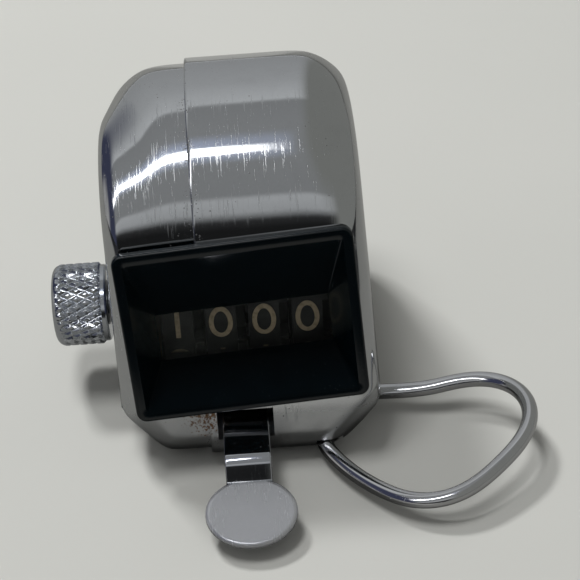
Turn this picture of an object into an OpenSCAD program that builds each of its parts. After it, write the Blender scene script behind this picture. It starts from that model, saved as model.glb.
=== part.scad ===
// Hand tally counter: a chromed two-shell case with a four-wheel register behind a
// black bezel, a thumb lever, a knurled reset knob and a folding wire finger ring.
// +X to the right of the window, -Y towards the user, +Z up.
// The origin is on the flat base, under the counter.

/* [Case] */
// Width of the right shell, side to side
case_w = 34; // [33.6:0.1:36]
// Thickness of the pressed sheet
wall = 0.65; // [0.5:0.05:0.7]
// Gap between the right shell and the left shell's tongue
lap_gap = 0.05; // [0.03:0.01:0.1]
// Place of the seam between the shells, across the width
seam_x = -5.1; // [-5.6:0.1:-4.8]
// Length of the left shell's tongue inside the right shell
lap = 2.8; // [2:0.1:3]
// Radius of the big arc over the top and back
top_r = 18; // [17.5:0.1:19]
// Height of the centre of that arc
top_z = 24.5; // [24:0.1:26]
// Depth position of the centre of that arc
top_y = 3.1; // [3:0.1:4]
// Lean of the front face, back from upright
face_tilt = 18; // [17:0.5:19]

/* [Bezel and window] */
// Width of the bezel
bezel_w = 29.5; // [29:0.1:30]
// Height of the bezel, along the face
bezel_h = 22.6; // [22:0.1:23]
// How far the bezel's rim stands off the face
bezel_proud = 1.1; // [0.8:0.1:1.4]
// Angle that the bezel sits out of square in its opening
bezel_skew = 3.5; // [0:0.5:4]
// Width of the window
window_w = 22.2; // [21.5:0.1:22.5]
// Height of the window
window_h = 6.4; // [6:0.1:6.5]
// Depth of the window behind the face
window_depth = 6; // [5.6:0.1:6]

/* [Number wheels] */
// Radius of a number wheel
wheel_r = 9.5; // [9.2:0.1:9.5]
// Distance from one wheel to the next
wheel_pitch = 5.6; // [5.5:0.05:5.7]
// Width of a wheel's rim
rim_w = 4; // [3.8:0.1:4]
// Number of ratchet teeth, one for each figure
teeth = 10; // [10:1:10]
// Radius of the tips of the ratchet teeth
tooth_tip_r = 8.2; // [8:0.1:8.2]
// Radius of the reset shaft
shaft_r = 1.5; // [1.3:0.1:1.6]

/* [Knob] */
// Radius of the reset knob
knob_r = 5.5; // [5:0.1:5.8]
// Length of the knob's knurled part
knob_len = 6.5; // [5:0.1:7]

/* [Lever] */
// Width of the lever's strip
lever_w = 5.8; // [5:0.1:6]
// Thickness of the lever's sheet
lever_t = 0.9; // [0.8:0.05:1]
// Width of the thumb pad
pad_w = 11.4; // [10:0.1:12]
// Length of the thumb pad
pad_len = 9.5; // [8:0.1:10]

/* [Finger ring] */
// Diameter of the ring's wire
ring_wire_d = 2; // [1.8:0.1:2]
// Radius of the ring's round part, to the middle of the wire
ring_r = 10.7; // [10:0.1:11]

/* [Hidden] */
$fn = 48;

// Clearances
run_gap = 0.05;      // a turning fit, on the radius
seat_gap = 0.02;     // two fixed pieces that touch
eps = 0.5;           // how far a cut runs past a face

// Case: the discs that the case's form is stretched over
half_w = case_w / 2;
step_in = wall + lap_gap;          // the left shell is this much smaller
face_n = [-cos(face_tilt), sin(face_tilt)];
face_const = [top_y, top_z] * face_n + top_r;
nose_r = 4;                        // radius under the bezel
nose_z = nose_r;
nose_y = (face_const - nose_r - nose_z * face_n[1]) / face_n[0];
face_z0 = 9;                       // height of the bezel's lower edge
face_y0 = (face_const - face_z0 * face_n[1]) / face_n[0];
top_half = half_w - 1.1;           // the case narrows a little towards its top
brow_r = 14;                       // keeps the sides square above the bezel
brow_half = half_w - 0.65;
brow_shift = -0.65;                // the sides lean slightly to the left there
back_r = 14;                       // radius at the bottom of the back
back_y = 7.2;

// Register
axis_y = -1.9;
axis_z = 11.6;
wheel_x = [for (i = [1.5, 0.5, -0.5, -1.5]) i * wheel_pitch];   // units first
ratchet_w = 1.2;
tooth_root_r = 6.8;
recess_r = 8;
recess_depth = 1.4;
pawl_stud = [4.6, 2.2];            // place of a reset pawl's stud, from the shaft
pawl_stud_r = 0.7;
finger_x = rim_w / 2 + 0.6;        // middle of a comb finger, from its wheel's middle
finger_w = 0.9;

// Frame
plate_t = 1;
left_plate_x = -12.4;
right_plate_x = 12.2;
frame_l = right_plate_x - (left_plate_x + plate_t);
bar_at = [[-1.9, 23.4], [9.9, 14]];
bar_r = 1.2;
base_rail_y = 6.7;
base_rail_z = 3.2;
detent_rail_at = [6.5, 23.2];
plate_screw_r = 0.5;

// Lever
lever_x = -0.5;
pivot = [-12.5, 5];
pivot_r = 0.8;
hub_r = 1.7;
hub_x0 = -8.4;
hub_x1 = 12.05;
strip_z = 6.9;
comb_at = [-9.9, 3.4];
comb_pin_r = 0.5;
comb_hub_r = 1.1;
comb_x0 = -6.6;
comb_x1 = 11.5;

// Ring
ring_hinge = [9.5, 1.9];           // X and Z of the hinge line
ring_c = [23.55, -23.2];           // middle of the loop
wire_r = ring_wire_d / 2;
ring_lobes = [[2, 1.15, 9], [3, 0.83, 27]];   // count, height and direction of the loop's swells
near_dir = 232;                    // where the near arm joins the loop, degrees
far_dir = 438;                     // where the far arm joins it
near_reach = [0.95, 6.5];          // how straight the near arm leaves the case and the loop
far_reach = [4.7, 5.9];            // how straight the far arm leaves the loop and the case
ring_far_y = -12.7;
ring_bend = 1.5;
ring_climb = 0.18;                 // rise of the loop away from the case
climb_x = 15;                      // where the rise begins
climb_ease = 4;

chrome = [0.78, 0.79, 0.8];
steel = [0.62, 0.63, 0.65];
brass = [0.78, 0.65, 0.36];
black = [0.06, 0.06, 0.08];

// ---------- shared shapes ----------

// A disc on the X axis whose rims are rounded: rx along X, rr along the radius
module rounded_disc(r, half, rx, rr, sides = 44) {
    rim = min(rr, r);
    rotate([0, 90, 0])
        rotate_extrude($fn = sides)
            polygon(concat(
                [[0, -half]],
                [for (a = [90:-18:0]) [r - rim + rim * cos(a), -(half - rx) - rx * sin(a)]],
                [for (a = [0:18:90]) [r - rim + rim * cos(a), (half - rx) + rx * sin(a)]],
                [[0, half]]));
}

// The case's form, shrunk on all sides by inset
module case_form(inset) {
    hull() {
        translate([0, top_y, top_z])
            rounded_disc(top_r - inset, top_half - inset, 7.2, 6.3, 56);
        translate([brow_shift, top_y + (top_r - brow_r) * face_n[0],
                   top_z + (top_r - brow_r) * face_n[1]])
            rounded_disc(brow_r - inset, brow_half - inset, 2.6, 2.6);
        translate([0, face_y0 - nose_r * face_n[0], face_z0 - nose_r * face_n[1]])
            rounded_disc(nose_r - inset, half_w - inset, 2.5, 2.5, 32);
        translate([0, nose_y, nose_z])
            rounded_disc(nose_r - inset, half_w - 2.5 - inset, 4, 4, 32);
        translate([0, back_y, back_r])
            rounded_disc(back_r - inset, half_w - inset, 5.5, 6);
    }
}

// Places children on the front face: X across, Y up the face, Z out of it
module on_face() {
    translate([0, face_y0, face_z0])
        rotate([90 - face_tilt, 0, 0])
            children();
}

// Turns children by the bezel's skew, about the bezel's middle
module skewed() {
    translate([0, bezel_h / 2, 0])
        rotate([0, 0, bezel_skew])
            translate([0, -bezel_h / 2, 0])
                children();
}

// Rectangle with round corners, centred across and standing on v0
module soft_rect(w, v0, v1, r) {
    translate([-w / 2 + r, v0]) square([w - 2 * r, v1 - v0]);
    translate([-w / 2, v0 + r]) square([w, v1 - v0 - 2 * r]);
    for (x = [-w / 2 + r, w / 2 - r], v = [v0 + r, v1 - r])
        translate([x, v]) circle(r);
}

// Cylinder along X from x0 to x1 at [y, z]
module rod_x(at, x0, x1, r) {
    translate([x0, at[0], at[1]])
        rotate([0, 90, 0])
            cylinder(r = r, h = x1 - x0);
}

// Flat plate across X from x0 to x1, from an outline in [y, z]
module sheet_x(x0, x1, outline) {
    translate([x0, 0, 0])
        rotate([90, 0, 90])
            linear_extrude(x1 - x0)
                polygon(outline);
}

function unit(v) = v / norm(v);

// Round wire along a path; ref is a direction that the path never runs along
module wire(path, r, ref, sides = 12) {
    last = len(path) - 1;
    rings = [for (i = [0:last])
        let (t = unit(path[min(i + 1, last)] - path[max(i - 1, 0)]),
             s = unit(cross(t, ref)),
             u = cross(s, t))
        for (k = [0:sides - 1])
            path[i] + r * (cos(k * 360 / sides) * s + sin(k * 360 / sides) * u)];
    polyhedron(
        points = rings,
        faces = concat(
            [[for (k = [sides - 1:-1:0]) k]],
            [[for (k = [0:sides - 1]) last * sides + k]],
            [for (i = [0:last - 1], k = [0:sides - 1])
                [i * sides + k, i * sides + (k + 1) % sides,
                 (i + 1) * sides + (k + 1) % sides, (i + 1) * sides + k]]));
}

// ---------- case ----------

lever_slot_w = 7.2;
lever_slot_z0 = 4.6;
lever_slot_z1 = 8.5;
bush_hole_r = 2;
bush_flange_r = 2.7;
base_screw_x = [-3.7, 7];
base_screw_r = 0.8;
base_head_r = 1.3;
rivet_at = [[4.9, -16.4], [6.9, -16.4]];
rivet_r = 0.6;

// Countersunk screw standing on the base, point up
module base_screw_shape(gap = 0) {
    cylinder(r1 = base_head_r + gap, r2 = base_screw_r + gap, h = 0.8);
    translate([0, 0, 0.7]) cylinder(r = base_screw_r + gap, h = 3 - 0.7 + gap);
}

// Everything that is cut through the shells
module case_openings() {
    on_face() skewed()
        translate([0, 0, -4])
            linear_extrude(8)
                soft_rect(bezel_w - 1.5, 0.75, bezel_h - 0.75, 1);
    translate([lever_x - lever_slot_w / 2, -30, lever_slot_z0])
        cube([lever_slot_w, 12, lever_slot_z1 - lever_slot_z0]);
    rod_x([axis_y, axis_z], -half_w - 1, -half_w + 3, bush_hole_r);
    // Flat seat for the bush
    rod_x([axis_y, axis_z], -half_w - 1, -half_w + step_in, bush_flange_r + 0.1);
    // Notch for the ring's near arm
    translate([ring_hinge[0] - 1.15, -26, 0.8]) cube([3.6, 7.6, 2.3]);
    // Slot for the ring's far arm
    translate([ring_hinge[0] - 1.15, ring_far_y - 2.2, -1]) cube([9.65, 3.4, 5.1]);
    for (x = base_screw_x)
        translate([x, base_rail_y, 0]) {
            base_screw_shape(seat_gap);
            translate([0, 0, -1]) cylinder(r = base_head_r + seat_gap, h = 1.01);
        }
    for (p = rivet_at)
        translate([p[0], p[1], -1]) cylinder(r = rivet_r + seat_gap, h = 3);
}

module left_case() {
    color(chrome)
        difference() {
            case_form(step_in);
            case_form(step_in + wall);
            translate([seam_x + lap, -50, -10]) cube([50, 100, 80]);
            case_openings();
        }
}

module right_case() {
    color(chrome)
        difference() {
            case_form(0);
            case_form(wall);
            translate([seam_x - 50, -50, -10]) cube([50, 100, 80]);
            case_openings();
        }
}

module base_screws() {
    color(steel)
        for (x = base_screw_x)
            translate([x, base_rail_y, 0])
                difference() {
                    base_screw_shape();
                    translate([-2, -0.2, -1]) cube([4, 0.4, 1.35]);
                }
}

// ---------- bezel ----------

rim_in = 1.25;                 // width of the bezel's rim
win_v0 = 5;                    // lower edge of the window, up the face
funnel_wall = 1.1;

// Block that narrows from the front rectangle at h1 to the back one at h0
module taper(w1, lo1, hi1, h1, w0, lo0, hi0, h0) {
    hull() {
        translate([-w1 / 2, lo1, h1 - 0.01]) cube([w1, hi1 - lo1, 0.01]);
        translate([-w0 / 2, lo0, h0]) cube([w0, hi0 - lo0, 0.01]);
    }
}

module bezel() {
    color(black)
        on_face() skewed()
            difference() {
                union() {
                    translate([0, 0, seat_gap])
                        linear_extrude(bezel_proud - seat_gap)
                            soft_rect(bezel_w, 0, bezel_h, 1.2);
                    translate([0, 0, -1.6])
                        linear_extrude(2)
                            soft_rect(bezel_w - 1.6, 0.8, bezel_h - 0.8, 0.95);
                    taper(bezel_w - 1.8, 0.9, bezel_h - 0.9, -1.5,
                          window_w + 2 * funnel_wall, win_v0 - funnel_wall,
                          win_v0 + window_h + funnel_wall, -window_depth);
                }
                taper(bezel_w - 2 * rim_in, rim_in, bezel_h - rim_in, bezel_proud + 0.01,
                      window_w, win_v0, win_v0 + window_h, -window_depth - 0.01);
            }
}

module window_lens() {
    color([0.8, 0.85, 0.9, 0.4])
        on_face() skewed()
            translate([-window_w / 2 - 1, win_v0 - 1, -window_depth - seat_gap - 0.8])
                cube([window_w + 2, window_h + 2, 0.8]);
}

// ---------- frame ----------

plate_outline = [
    [-14.4, 3.6], [-14.2, 6.2], [-9.9, 19.4], [-5, 25.1], [1, 26], [9.2, 26],
    [11.8, 15.6], [11.8, 11], [9.2, 2.2], [4.4, 2.2], [2.6, 3.6]
];

module side_plate(x0, hole_r) {
    difference() {
        sheet_x(x0, x0 + plate_t, plate_outline);
        rod_x([axis_y, axis_z], x0 - eps, x0 + plate_t + eps, hole_r);
        rod_x(pivot, x0 - eps, x0 + plate_t + eps, pivot_r + seat_gap);
        for (p = plate_screw_at)
            rod_x(p, x0 - eps, x0 + plate_t + eps, plate_screw_r + seat_gap);
    }
}

plate_screw_at = concat(bar_at, [detent_rail_at, [base_rail_y, base_rail_z]]);
screw_depth = 3;
screw_head_r = 0.85;

module left_plate() {
    color(brass) side_plate(left_plate_x, shaft_r + run_gap);
}

right_bush_r = 2.5;

module right_plate() {
    color(brass) side_plate(right_plate_x, right_bush_r + seat_gap);
}

// Tapped holes in the two ends of a bar
module end_holes(at) {
    rod_x(at, left_plate_x, left_plate_x + plate_t + screw_depth + 0.5, plate_screw_r + seat_gap);
    rod_x(at, right_plate_x - screw_depth - 0.5, right_plate_x + eps, plate_screw_r + seat_gap);
}

module frame_bars() {
    color(steel)
        for (p = bar_at)
            difference() {
                rod_x(p, left_plate_x + plate_t + seat_gap, right_plate_x - seat_gap, bar_r);
                end_holes(p);
            }
}

module base_rail() {
    color(steel)
        difference() {
            translate([left_plate_x + plate_t + seat_gap, base_rail_y - 1.6, 1.6])
                cube([frame_l - 2 * seat_gap, 3.2, 2.4]);
            end_holes([base_rail_y, base_rail_z]);
            for (x = base_screw_x)
                translate([x, base_rail_y, 0]) base_screw_shape(seat_gap);
        }
}

module detent_rail() {
    color(steel)
        difference() {
            translate([left_plate_x + plate_t + seat_gap, detent_rail_at[0] - 1.2, detent_rail_at[1] - 1.2])
                cube([frame_l - 2 * seat_gap, 2.4, 2.4]);
            end_holes(detent_rail_at);
            for (x = detent_screw_x)
                translate([x, detent_rail_at[0] + 1.2 - 1.9, detent_rail_at[1]])
                    rotate([-90, 0, 0]) cylinder(r = 0.5 + seat_gap, h = 3);
        }
}

module plate_screws() {
    color(steel)
        for (p = plate_screw_at) {
            rod_x(p, left_plate_x - seat_gap, left_plate_x + plate_t + screw_depth, plate_screw_r);
            rod_x(p, left_plate_x - 0.6, left_plate_x - seat_gap, screw_head_r);
            rod_x(p, right_plate_x - screw_depth, right_plate_x + plate_t + seat_gap, plate_screw_r);
            rod_x(p, right_plate_x + plate_t + seat_gap, right_plate_x + plate_t + 0.6, screw_head_r);
        }
}

// ---------- reset shaft and knob ----------

knob_x1 = -17.7;                       // inner end of the knob
knob_shoulder = 0.8;
knob_x0 = knob_x1 - knob_shoulder - knob_len;
clip_x = 14.15;

module left_bush() {
    color(brass)
        difference() {
            union() {
                rod_x([axis_y, axis_z], -half_w + step_in - 1.6, -half_w + step_in + 1.6,
                      bush_hole_r - seat_gap);
                rod_x([axis_y, axis_z], -half_w + step_in - 0.5, -half_w + step_in - seat_gap,
                      bush_flange_r);
            }
            rod_x([axis_y, axis_z], -half_w - 5, -half_w + 5, shaft_r + run_gap);
            translate([-half_w + step_in - 2.1, axis_y - 5, axis_z - 5]) cube([1.6, 10, 10]);
        }
}

module right_bush() {
    color(brass)
        difference() {
            union() {
                rod_x([axis_y, axis_z], right_plate_x - seat_gap, right_plate_x + plate_t + 0.3,
                      right_bush_r);
                rod_x([axis_y, axis_z], right_plate_x + plate_t + seat_gap,
                      right_plate_x + plate_t + 0.6, right_bush_r + 0.8);
            }
            rod_x([axis_y, axis_z], right_plate_x - 2, right_plate_x + 4, shaft_r + run_gap);
        }
}

module reset_shaft() {
    color(steel)
        difference() {
            rod_x([axis_y, axis_z], knob_x0 + 1, clip_x + 0.9, shaft_r);
            // Groove that the wheels' reset pawls drop into
            translate([wheel_x[3] - rim_w / 2, axis_y - 0.5, axis_z + shaft_r - 0.5])
                cube([wheel_x[0] - wheel_x[3] + rim_w, 1, 1]);
            // Neck for the spring clip
            difference() {
                rod_x([axis_y, axis_z], clip_x, clip_x + 0.5, shaft_r + 1);
                rod_x([axis_y, axis_z], clip_x - 1, clip_x + 1, shaft_r - 0.35);
            }
        }
}

module shaft_clip() {
    color(steel)
        difference() {
            rod_x([axis_y, axis_z], clip_x + 0.04, clip_x + 0.46, 2.9);
            rod_x([axis_y, axis_z], clip_x - 1, clip_x + 1, shaft_r - 0.35 + seat_gap);
            translate([clip_x - 1, axis_y - 0.9, axis_z - 4]) cube([2, 1.8, 4]);
        }
}

module reset_knob() {
    color(chrome)
        difference() {
            translate([knob_x0, axis_y, axis_z])
                rotate([0, 90, 0])
                    rotate_extrude()
                        polygon(concat(
                            [[0, 0]],
                            [for (a = [0:15:90])
                                [knob_r - 1.3 + 1.3 * sin(a), 1.3 - 1.3 * cos(a)]],
                            [[knob_r, knob_len - 0.3], [knob_r - 0.35, knob_len],
                             [knob_r - 0.35, knob_len + knob_shoulder - 0.3],
                             [knob_r - 0.65, knob_len + knob_shoulder], [0, knob_len + knob_shoulder]]));
            rod_x([axis_y, axis_z], knob_x0 + 1 - seat_gap, knob_x1 + 1, shaft_r + seat_gap);
            // Tapped hole for the grub screw
            translate([knob_x0 + 4, axis_y, axis_z]) rotate([180, 0, 0])
                cylinder(r = 0.8 + seat_gap, h = knob_r + 1);
        }
}

module knob_screw() {
    color(steel)
        translate([knob_x0 + 4, axis_y, axis_z]) rotate([180, 0, 0])
            difference() {
                translate([0, 0, shaft_r + seat_gap]) cylinder(r = 0.8, h = knob_r - shaft_r - 1);
                translate([-1, -0.15, knob_r - 1.5]) cube([2, 0.3, 1]);
            }
}

module knob_washer() {
    color(steel)
        difference() {
            rod_x([axis_y, axis_z], knob_x1 + 0.15, knob_x1 + 0.55, 3);
            rod_x([axis_y, axis_z], knob_x1 - 1, knob_x1 + 1, shaft_r + 0.15);
        }
}

// ---------- number wheels ----------

// Outline of a ratchet: each tooth has one steep side and one long slope
module ratchet_2d() {
    polygon([for (i = [0:teeth - 1])
        let (a = i * 360 / teeth)
        each [
            tooth_root_r * [cos(a), sin(a)],
            tooth_tip_r * [cos(a + 2), sin(a + 2)],
            tooth_tip_r * [cos(a + 7), sin(a + 7)],
            tooth_root_r * [cos(a + 30), sin(a + 30)]
        ]]);
}

module number_wheel(x) {
    difference() {
        union() {
            rod_x([axis_y, axis_z], x - rim_w / 2, x + rim_w / 2, wheel_r);
            translate([x + rim_w / 2 - 0.01, axis_y, axis_z])
                rotate([90, 0, 90])
                    linear_extrude(ratchet_w) ratchet_2d();
        }
        rod_x([axis_y, axis_z], x - 5, x + 5, shaft_r + run_gap);
        difference() {
            rod_x([axis_y, axis_z], x - rim_w / 2 - 1, x - rim_w / 2 + recess_depth, recess_r);
            rod_x([axis_y + pawl_stud[0], axis_z + pawl_stud[1]], x - rim_w / 2 + 0.2, x, pawl_stud_r);
        }
    }
}

module units_wheel() { color(black) number_wheel(wheel_x[0]); }
module tens_wheel() { color(black) number_wheel(wheel_x[1]); }
module hundreds_wheel() { color(black) number_wheel(wheel_x[2]); }
module thousands_wheel() { color(black) number_wheel(wheel_x[3]); }

// Pawl inside a wheel: its nose rides on the shaft and finds the groove
module reset_pawl(x) {
    x0 = x - rim_w / 2 + 0.3;
    x1 = x - rim_w / 2 + recess_depth - 0.05;
    stud = [axis_y + pawl_stud[0], axis_z + pawl_stud[1]];
    difference() {
        union() {
            rod_x(stud, x0, x1, 1.3);
            sheet_x(x0, x1, [
                stud + [1, 0.8], stud + [-0.4, 1.3], [axis_y + 0.6, axis_z + 2.2],
                [axis_y - 0.3, axis_z + 2.5], [axis_y - 0.4, axis_z + 1.8],
                [axis_y + 1, axis_z + 1.6], stud + [-1.1, -0.7]
            ]);
            sheet_x(x0, x1, [
                stud + [-0.6, -1.1], stud + [1.2, -0.4], stud + [0.6, -4.4], stud + [-0.1, -4.4]
            ]);
        }
        rod_x(stud, x0 - 1, x1 + 1, pawl_stud_r + seat_gap);
    }
}

module units_pawl() { color(steel) reset_pawl(wheel_x[0]); }
module tens_pawl() { color(steel) reset_pawl(wheel_x[1]); }
module hundreds_pawl() { color(steel) reset_pawl(wheel_x[2]); }
module thousands_pawl() { color(steel) reset_pawl(wheel_x[3]); }

// ---------- lever and drive comb ----------

bend_y = -27.4;                // where the strip starts to turn down
bend_r = 1.2;                  // radius of that bend, to the strip's middle
bend_drop = 1.95;              // straight part between the bend and the crease
bend_angle = 62;
crease_r = 0.6;                // radius of the bend into the pad
pad_pitch = 12;                // the pad's fall towards its tip

// Middle line of the lever's strip, from the hub out to the crease
function lever_line() = let (
        a1 = bend_angle,
        p0 = [bend_y, strip_z],
        c1 = p0 + [0, -bend_r],
        p1 = c1 + bend_r * [-sin(a1), cos(a1)],
        p2 = p1 + bend_drop * [-cos(a1), -sin(a1)],
        c2 = p2 + crease_r * [-sin(a1), cos(a1)]
    ) concat(
        [[pivot[0], strip_z]],
        [for (a = [0:a1 / 8:a1]) c1 + bend_r * [-sin(a), cos(a)]],
        [for (a = [a1:-(a1 - pad_pitch) / 4:pad_pitch]) c2 + crease_r * [sin(a), -cos(a)]]);

// Side normal of the line at point i
function line_normal(p, i) = let (
        d = unit(p[min(i + 1, len(p) - 1)] - p[max(i - 1, 0)])
    ) [d[1], -d[0]];

module lever_strip() {
    p = lever_line();
    outline = concat(
        [for (i = [0:len(p) - 1]) p[i] + lever_t / 2 * line_normal(p, i)],
        [for (i = [len(p) - 1:-1:0]) p[i] - lever_t / 2 * line_normal(p, i)]);
    sheet_x(lever_x - lever_w / 2, lever_x + lever_w / 2, outline);
}

module thumb_pad() {
    p = lever_line();
    start = p[len(p) - 1];
    translate([lever_x, start[0], start[1]])
        rotate([pad_pitch, 0, 0])
            translate([0, -pad_len / 2 + 0.6, -lever_t / 2])
                scale([pad_w / pad_len, 1, 1])
                    cylinder(r = pad_len / 2, h = lever_t);
}

module lever_ear(x0, x1) {
    rod_x(pivot, x0, x1, hub_r);
    rod_x(comb_at, x0, x1, 1.15);
    sheet_x(x0, x1, [
        pivot + [0.6, 1.5], pivot + [-0.9, -1.35],
        comb_at + [-0.5, -1], comb_at + [0.7, 0.9]
    ]);
}

module thumb_lever() {
    color(chrome)
        difference() {
            union() {
                lever_strip();
                thumb_pad();
                rod_x(pivot, hub_x0, hub_x1, hub_r);
                sheet_x(lever_x - lever_w / 2, lever_x + lever_w / 2,
                        [pivot + [-1.7, 0], pivot + [1.6, 0], pivot + [0.2, 2.3], pivot + [-1.7, 2.3]]);
                lever_ear(-7.6, -6.75);
                lever_ear(11.6, hub_x1);
            }
            rod_x(pivot, hub_x0 - 1, hub_x1 + 1, pivot_r + run_gap);
            rod_x(comb_at, hub_x0 - 1, hub_x1 + 1, comb_pin_r + seat_gap);
        }
}

module lever_pivot() {
    color(steel) {
        rod_x(pivot, left_plate_x - 0.4, right_plate_x + plate_t, pivot_r);
        rod_x(pivot, left_plate_x - 0.4, left_plate_x - seat_gap, 1.2);
    }
}

// Coil of round wire along X, turns times, that starts straight up
function coil(at, x0, x1, r, turns, steps = 14) = [for (i = [0:turns * steps])
    [x0 + (x1 - x0) * i / (turns * steps),
     at[0] + r * sin(360 * i / steps),
     at[1] + r * cos(360 * i / steps)]];

module lever_spring() {
    r = 1.3;
    path = concat(
        [[-10.9, pivot[0] - 2.6, pivot[1] + r], [-10.9, pivot[0] - 1.2, pivot[1] + r]],
        coil(pivot, -10.9, -8.75, r, 4),
        [[-8.7, pivot[0] + 1, pivot[1] + r], [-8.7, pivot[0] + 1.8, pivot[1] + r]]);
    color(steel) wire(path, 0.2, [1, 0.02, 0], 8);
}

// Fingers of the comb that pushes the ratchets round
module drive_comb() {
    tip = comb_at + 3.2 * [cos(75), sin(75)];
    color(steel)
        difference() {
            union() {
                rod_x(comb_at, comb_x0, comb_x1, comb_hub_r);
                for (x = wheel_x)
                    sheet_x(x + finger_x - finger_w / 2, x + finger_x + finger_w / 2, [
                        comb_at + [-1, 0.3], comb_at + [0.95, 0.3],
                        tip + [0.12, -0.25], tip, tip + [-0.5, -0.5]
                    ]);
            }
            rod_x(comb_at, comb_x0 - 1, comb_x1 + 1, comb_pin_r + run_gap);
        }
}

module comb_pin() {
    color(steel) {
        rod_x(comb_at, -8.5, hub_x1, comb_pin_r);
        rod_x(comb_at, -8.7, -8.5, 0.8);
    }
}

module comb_spring() {
    r = 0.8;
    path = concat(
        coil(comb_at, -8.3, -7.8, r, 1, 14),
        [[-7.8, comb_at[0] + 1, comb_at[1] + r]]);
    color(steel) wire(path, 0.13, [1, 0.02, 0], 8);
}

// ---------- detent comb ----------

detent_screw_x = [-6.5, 8];
detent_t = 0.4;
detent_angle = 58;             // where a finger meets its ratchet, up from the back

// Leaf spring: a strip on the rail with one finger for each ratchet
module detent_comb() {
    back = detent_rail_at[0] + 1.2 + seat_gap;
    tip = [axis_y, axis_z] + (tooth_tip_r + 0.15) * [cos(detent_angle), sin(detent_angle)];
    color(brass)
        difference() {
            union() {
                translate([wheel_x[3] - 1, back, detent_rail_at[1] - 1.2])
                    cube([wheel_x[0] - wheel_x[3] + 4.4, detent_t, 2.4]);
                for (x = wheel_x)
                    sheet_x(x + finger_x - finger_w / 2, x + finger_x + finger_w / 2, [
                        [back, detent_rail_at[1] - 1.1], [back + detent_t, detent_rail_at[1] - 1.1],
                        [back + detent_t, detent_rail_at[1] - 3.2],
                        tip + [0.5, -0.1], tip, tip + [0.1, 0.5],
                        [back, detent_rail_at[1] - 2.9]
                    ]);
            }
            for (x = detent_screw_x)
                translate([x, back - 1, detent_rail_at[1]])
                    rotate([-90, 0, 0]) cylinder(r = 0.5 + seat_gap, h = 3);
        }
}

module detent_screws() {
    back = detent_rail_at[0] + 1.2 + seat_gap;
    color(steel)
        for (x = detent_screw_x)
            translate([x, back, detent_rail_at[1]])
                rotate([-90, 0, 0])
                    difference() {
                        union() {
                            translate([0, 0, -1.7]) cylinder(r = 0.5, h = 1.8 + detent_t);
                            translate([0, 0, detent_t + seat_gap]) cylinder(r = 1, h = 0.6);
                        }
                        translate([-2, -0.15, detent_t + 0.35]) cube([4, 0.3, 1]);
                    }
}

// ---------- finger ring ----------

exit_y = -21.6;                // where the near arm leaves the hinge line
near_end_y = -16.8;            // where the near arm stops inside the bracket
far_end_y = -16.4;             // where the far arm stops inside the bracket

// Radius and point of the loop at angle a
function loop_r(a) = ring_r
    + ring_lobes[0][1] * cos(ring_lobes[0][0] * (a - ring_lobes[0][2]))
    + ring_lobes[1][1] * cos(ring_lobes[1][0] * (a - ring_lobes[1][2]));
function loop_point(a) = ring_c + loop_r(a) * [cos(a), sin(a)];
function loop_tangent(a) = unit(loop_point(a + 0.5) - loop_point(a - 0.5));

// Points of a cubic curve after its start
function bezier(p0, p1, p2, p3, steps) = [for (i = [1:steps]) let (s = i / steps, q = 1 - s)
    q * q * q * p0 + 3 * q * q * s * p1 + 3 * q * s * s * p2 + s * s * s * p3];

// Height of the wire at x: level at the hinge, then climbing away from the case
function swell(x) = (norm([x - climb_x, climb_ease]) + x - climb_x) / 2;
function ring_z(x) = ring_hinge[1] + ring_climb * (swell(x) - swell(ring_hinge[0]));

// Plan of the ring from its near end, round the loop, to its far end
function ring_plan() = let (
        near = [ring_hinge[0], exit_y],
        far = [ring_hinge[0] + ring_bend, ring_far_y]
    ) concat(
        [near],
        bezier(near, near - [0, near_reach[0]],
               loop_point(near_dir) - near_reach[1] * loop_tangent(near_dir),
               loop_point(near_dir), 10),
        [for (i = [1:22]) loop_point(near_dir + (far_dir - near_dir) * i / 22)],
        bezier(loop_point(far_dir), loop_point(far_dir) + far_reach[0] * loop_tangent(far_dir),
               far + [far_reach[1], 0], far, 10),
        [for (a = [105:15:180]) far - [0, ring_bend] + ring_bend * [cos(a), sin(a)]]);

function ring_path() = [for (p = ring_plan()) [p[0], p[1], ring_z(p[0])]];

module finger_ring() {
    color(chrome) {
        wire(ring_path(), wire_r - 0.02, [0, 0, 1], 16);
        // The two straight ends that turn in the bracket
        translate([ring_hinge[0], near_end_y, ring_hinge[1]])
            rotate([90, 0, 0]) cylinder(r = wire_r, h = near_end_y - exit_y + 0.15);
        translate([ring_hinge[0], ring_far_y - ring_bend + 0.1, ring_hinge[1]])
            rotate([90, 0, 0]) cylinder(r = wire_r, h = ring_far_y - ring_bend + 0.1 - far_end_y);
    }
}

bracket_y0 = -18.2;
bracket_y1 = -14.6;

module ring_bracket() {
    color(brass)
        difference() {
            union() {
                translate([ring_hinge[0], bracket_y1, ring_hinge[1]])
                    rotate([90, 0, 0]) cylinder(r = wire_r + 0.55, h = bracket_y1 - bracket_y0);
                translate([4, bracket_y0, wall + seat_gap])
                    cube([ring_hinge[0] - 4, bracket_y1 - bracket_y0, 0.7]);
            }
            translate([ring_hinge[0], bracket_y1 + 1, ring_hinge[1]])
                rotate([90, 0, 0]) cylinder(r = wire_r + run_gap, h = bracket_y1 - bracket_y0 + 2);
            translate([4, bracket_y0 - 1, -2]) cube([10, 8, 2 + wall + seat_gap]);
            // Relief over the case's rising corner
            translate([ring_hinge[0] + 0.3, bracket_y0 - 1, -2]) cube([4, 8, 2 + wall + 0.1]);
            for (p = rivet_at)
                translate([p[0], p[1], 0]) cylinder(r = rivet_r + seat_gap, h = 3);
        }
}

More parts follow.
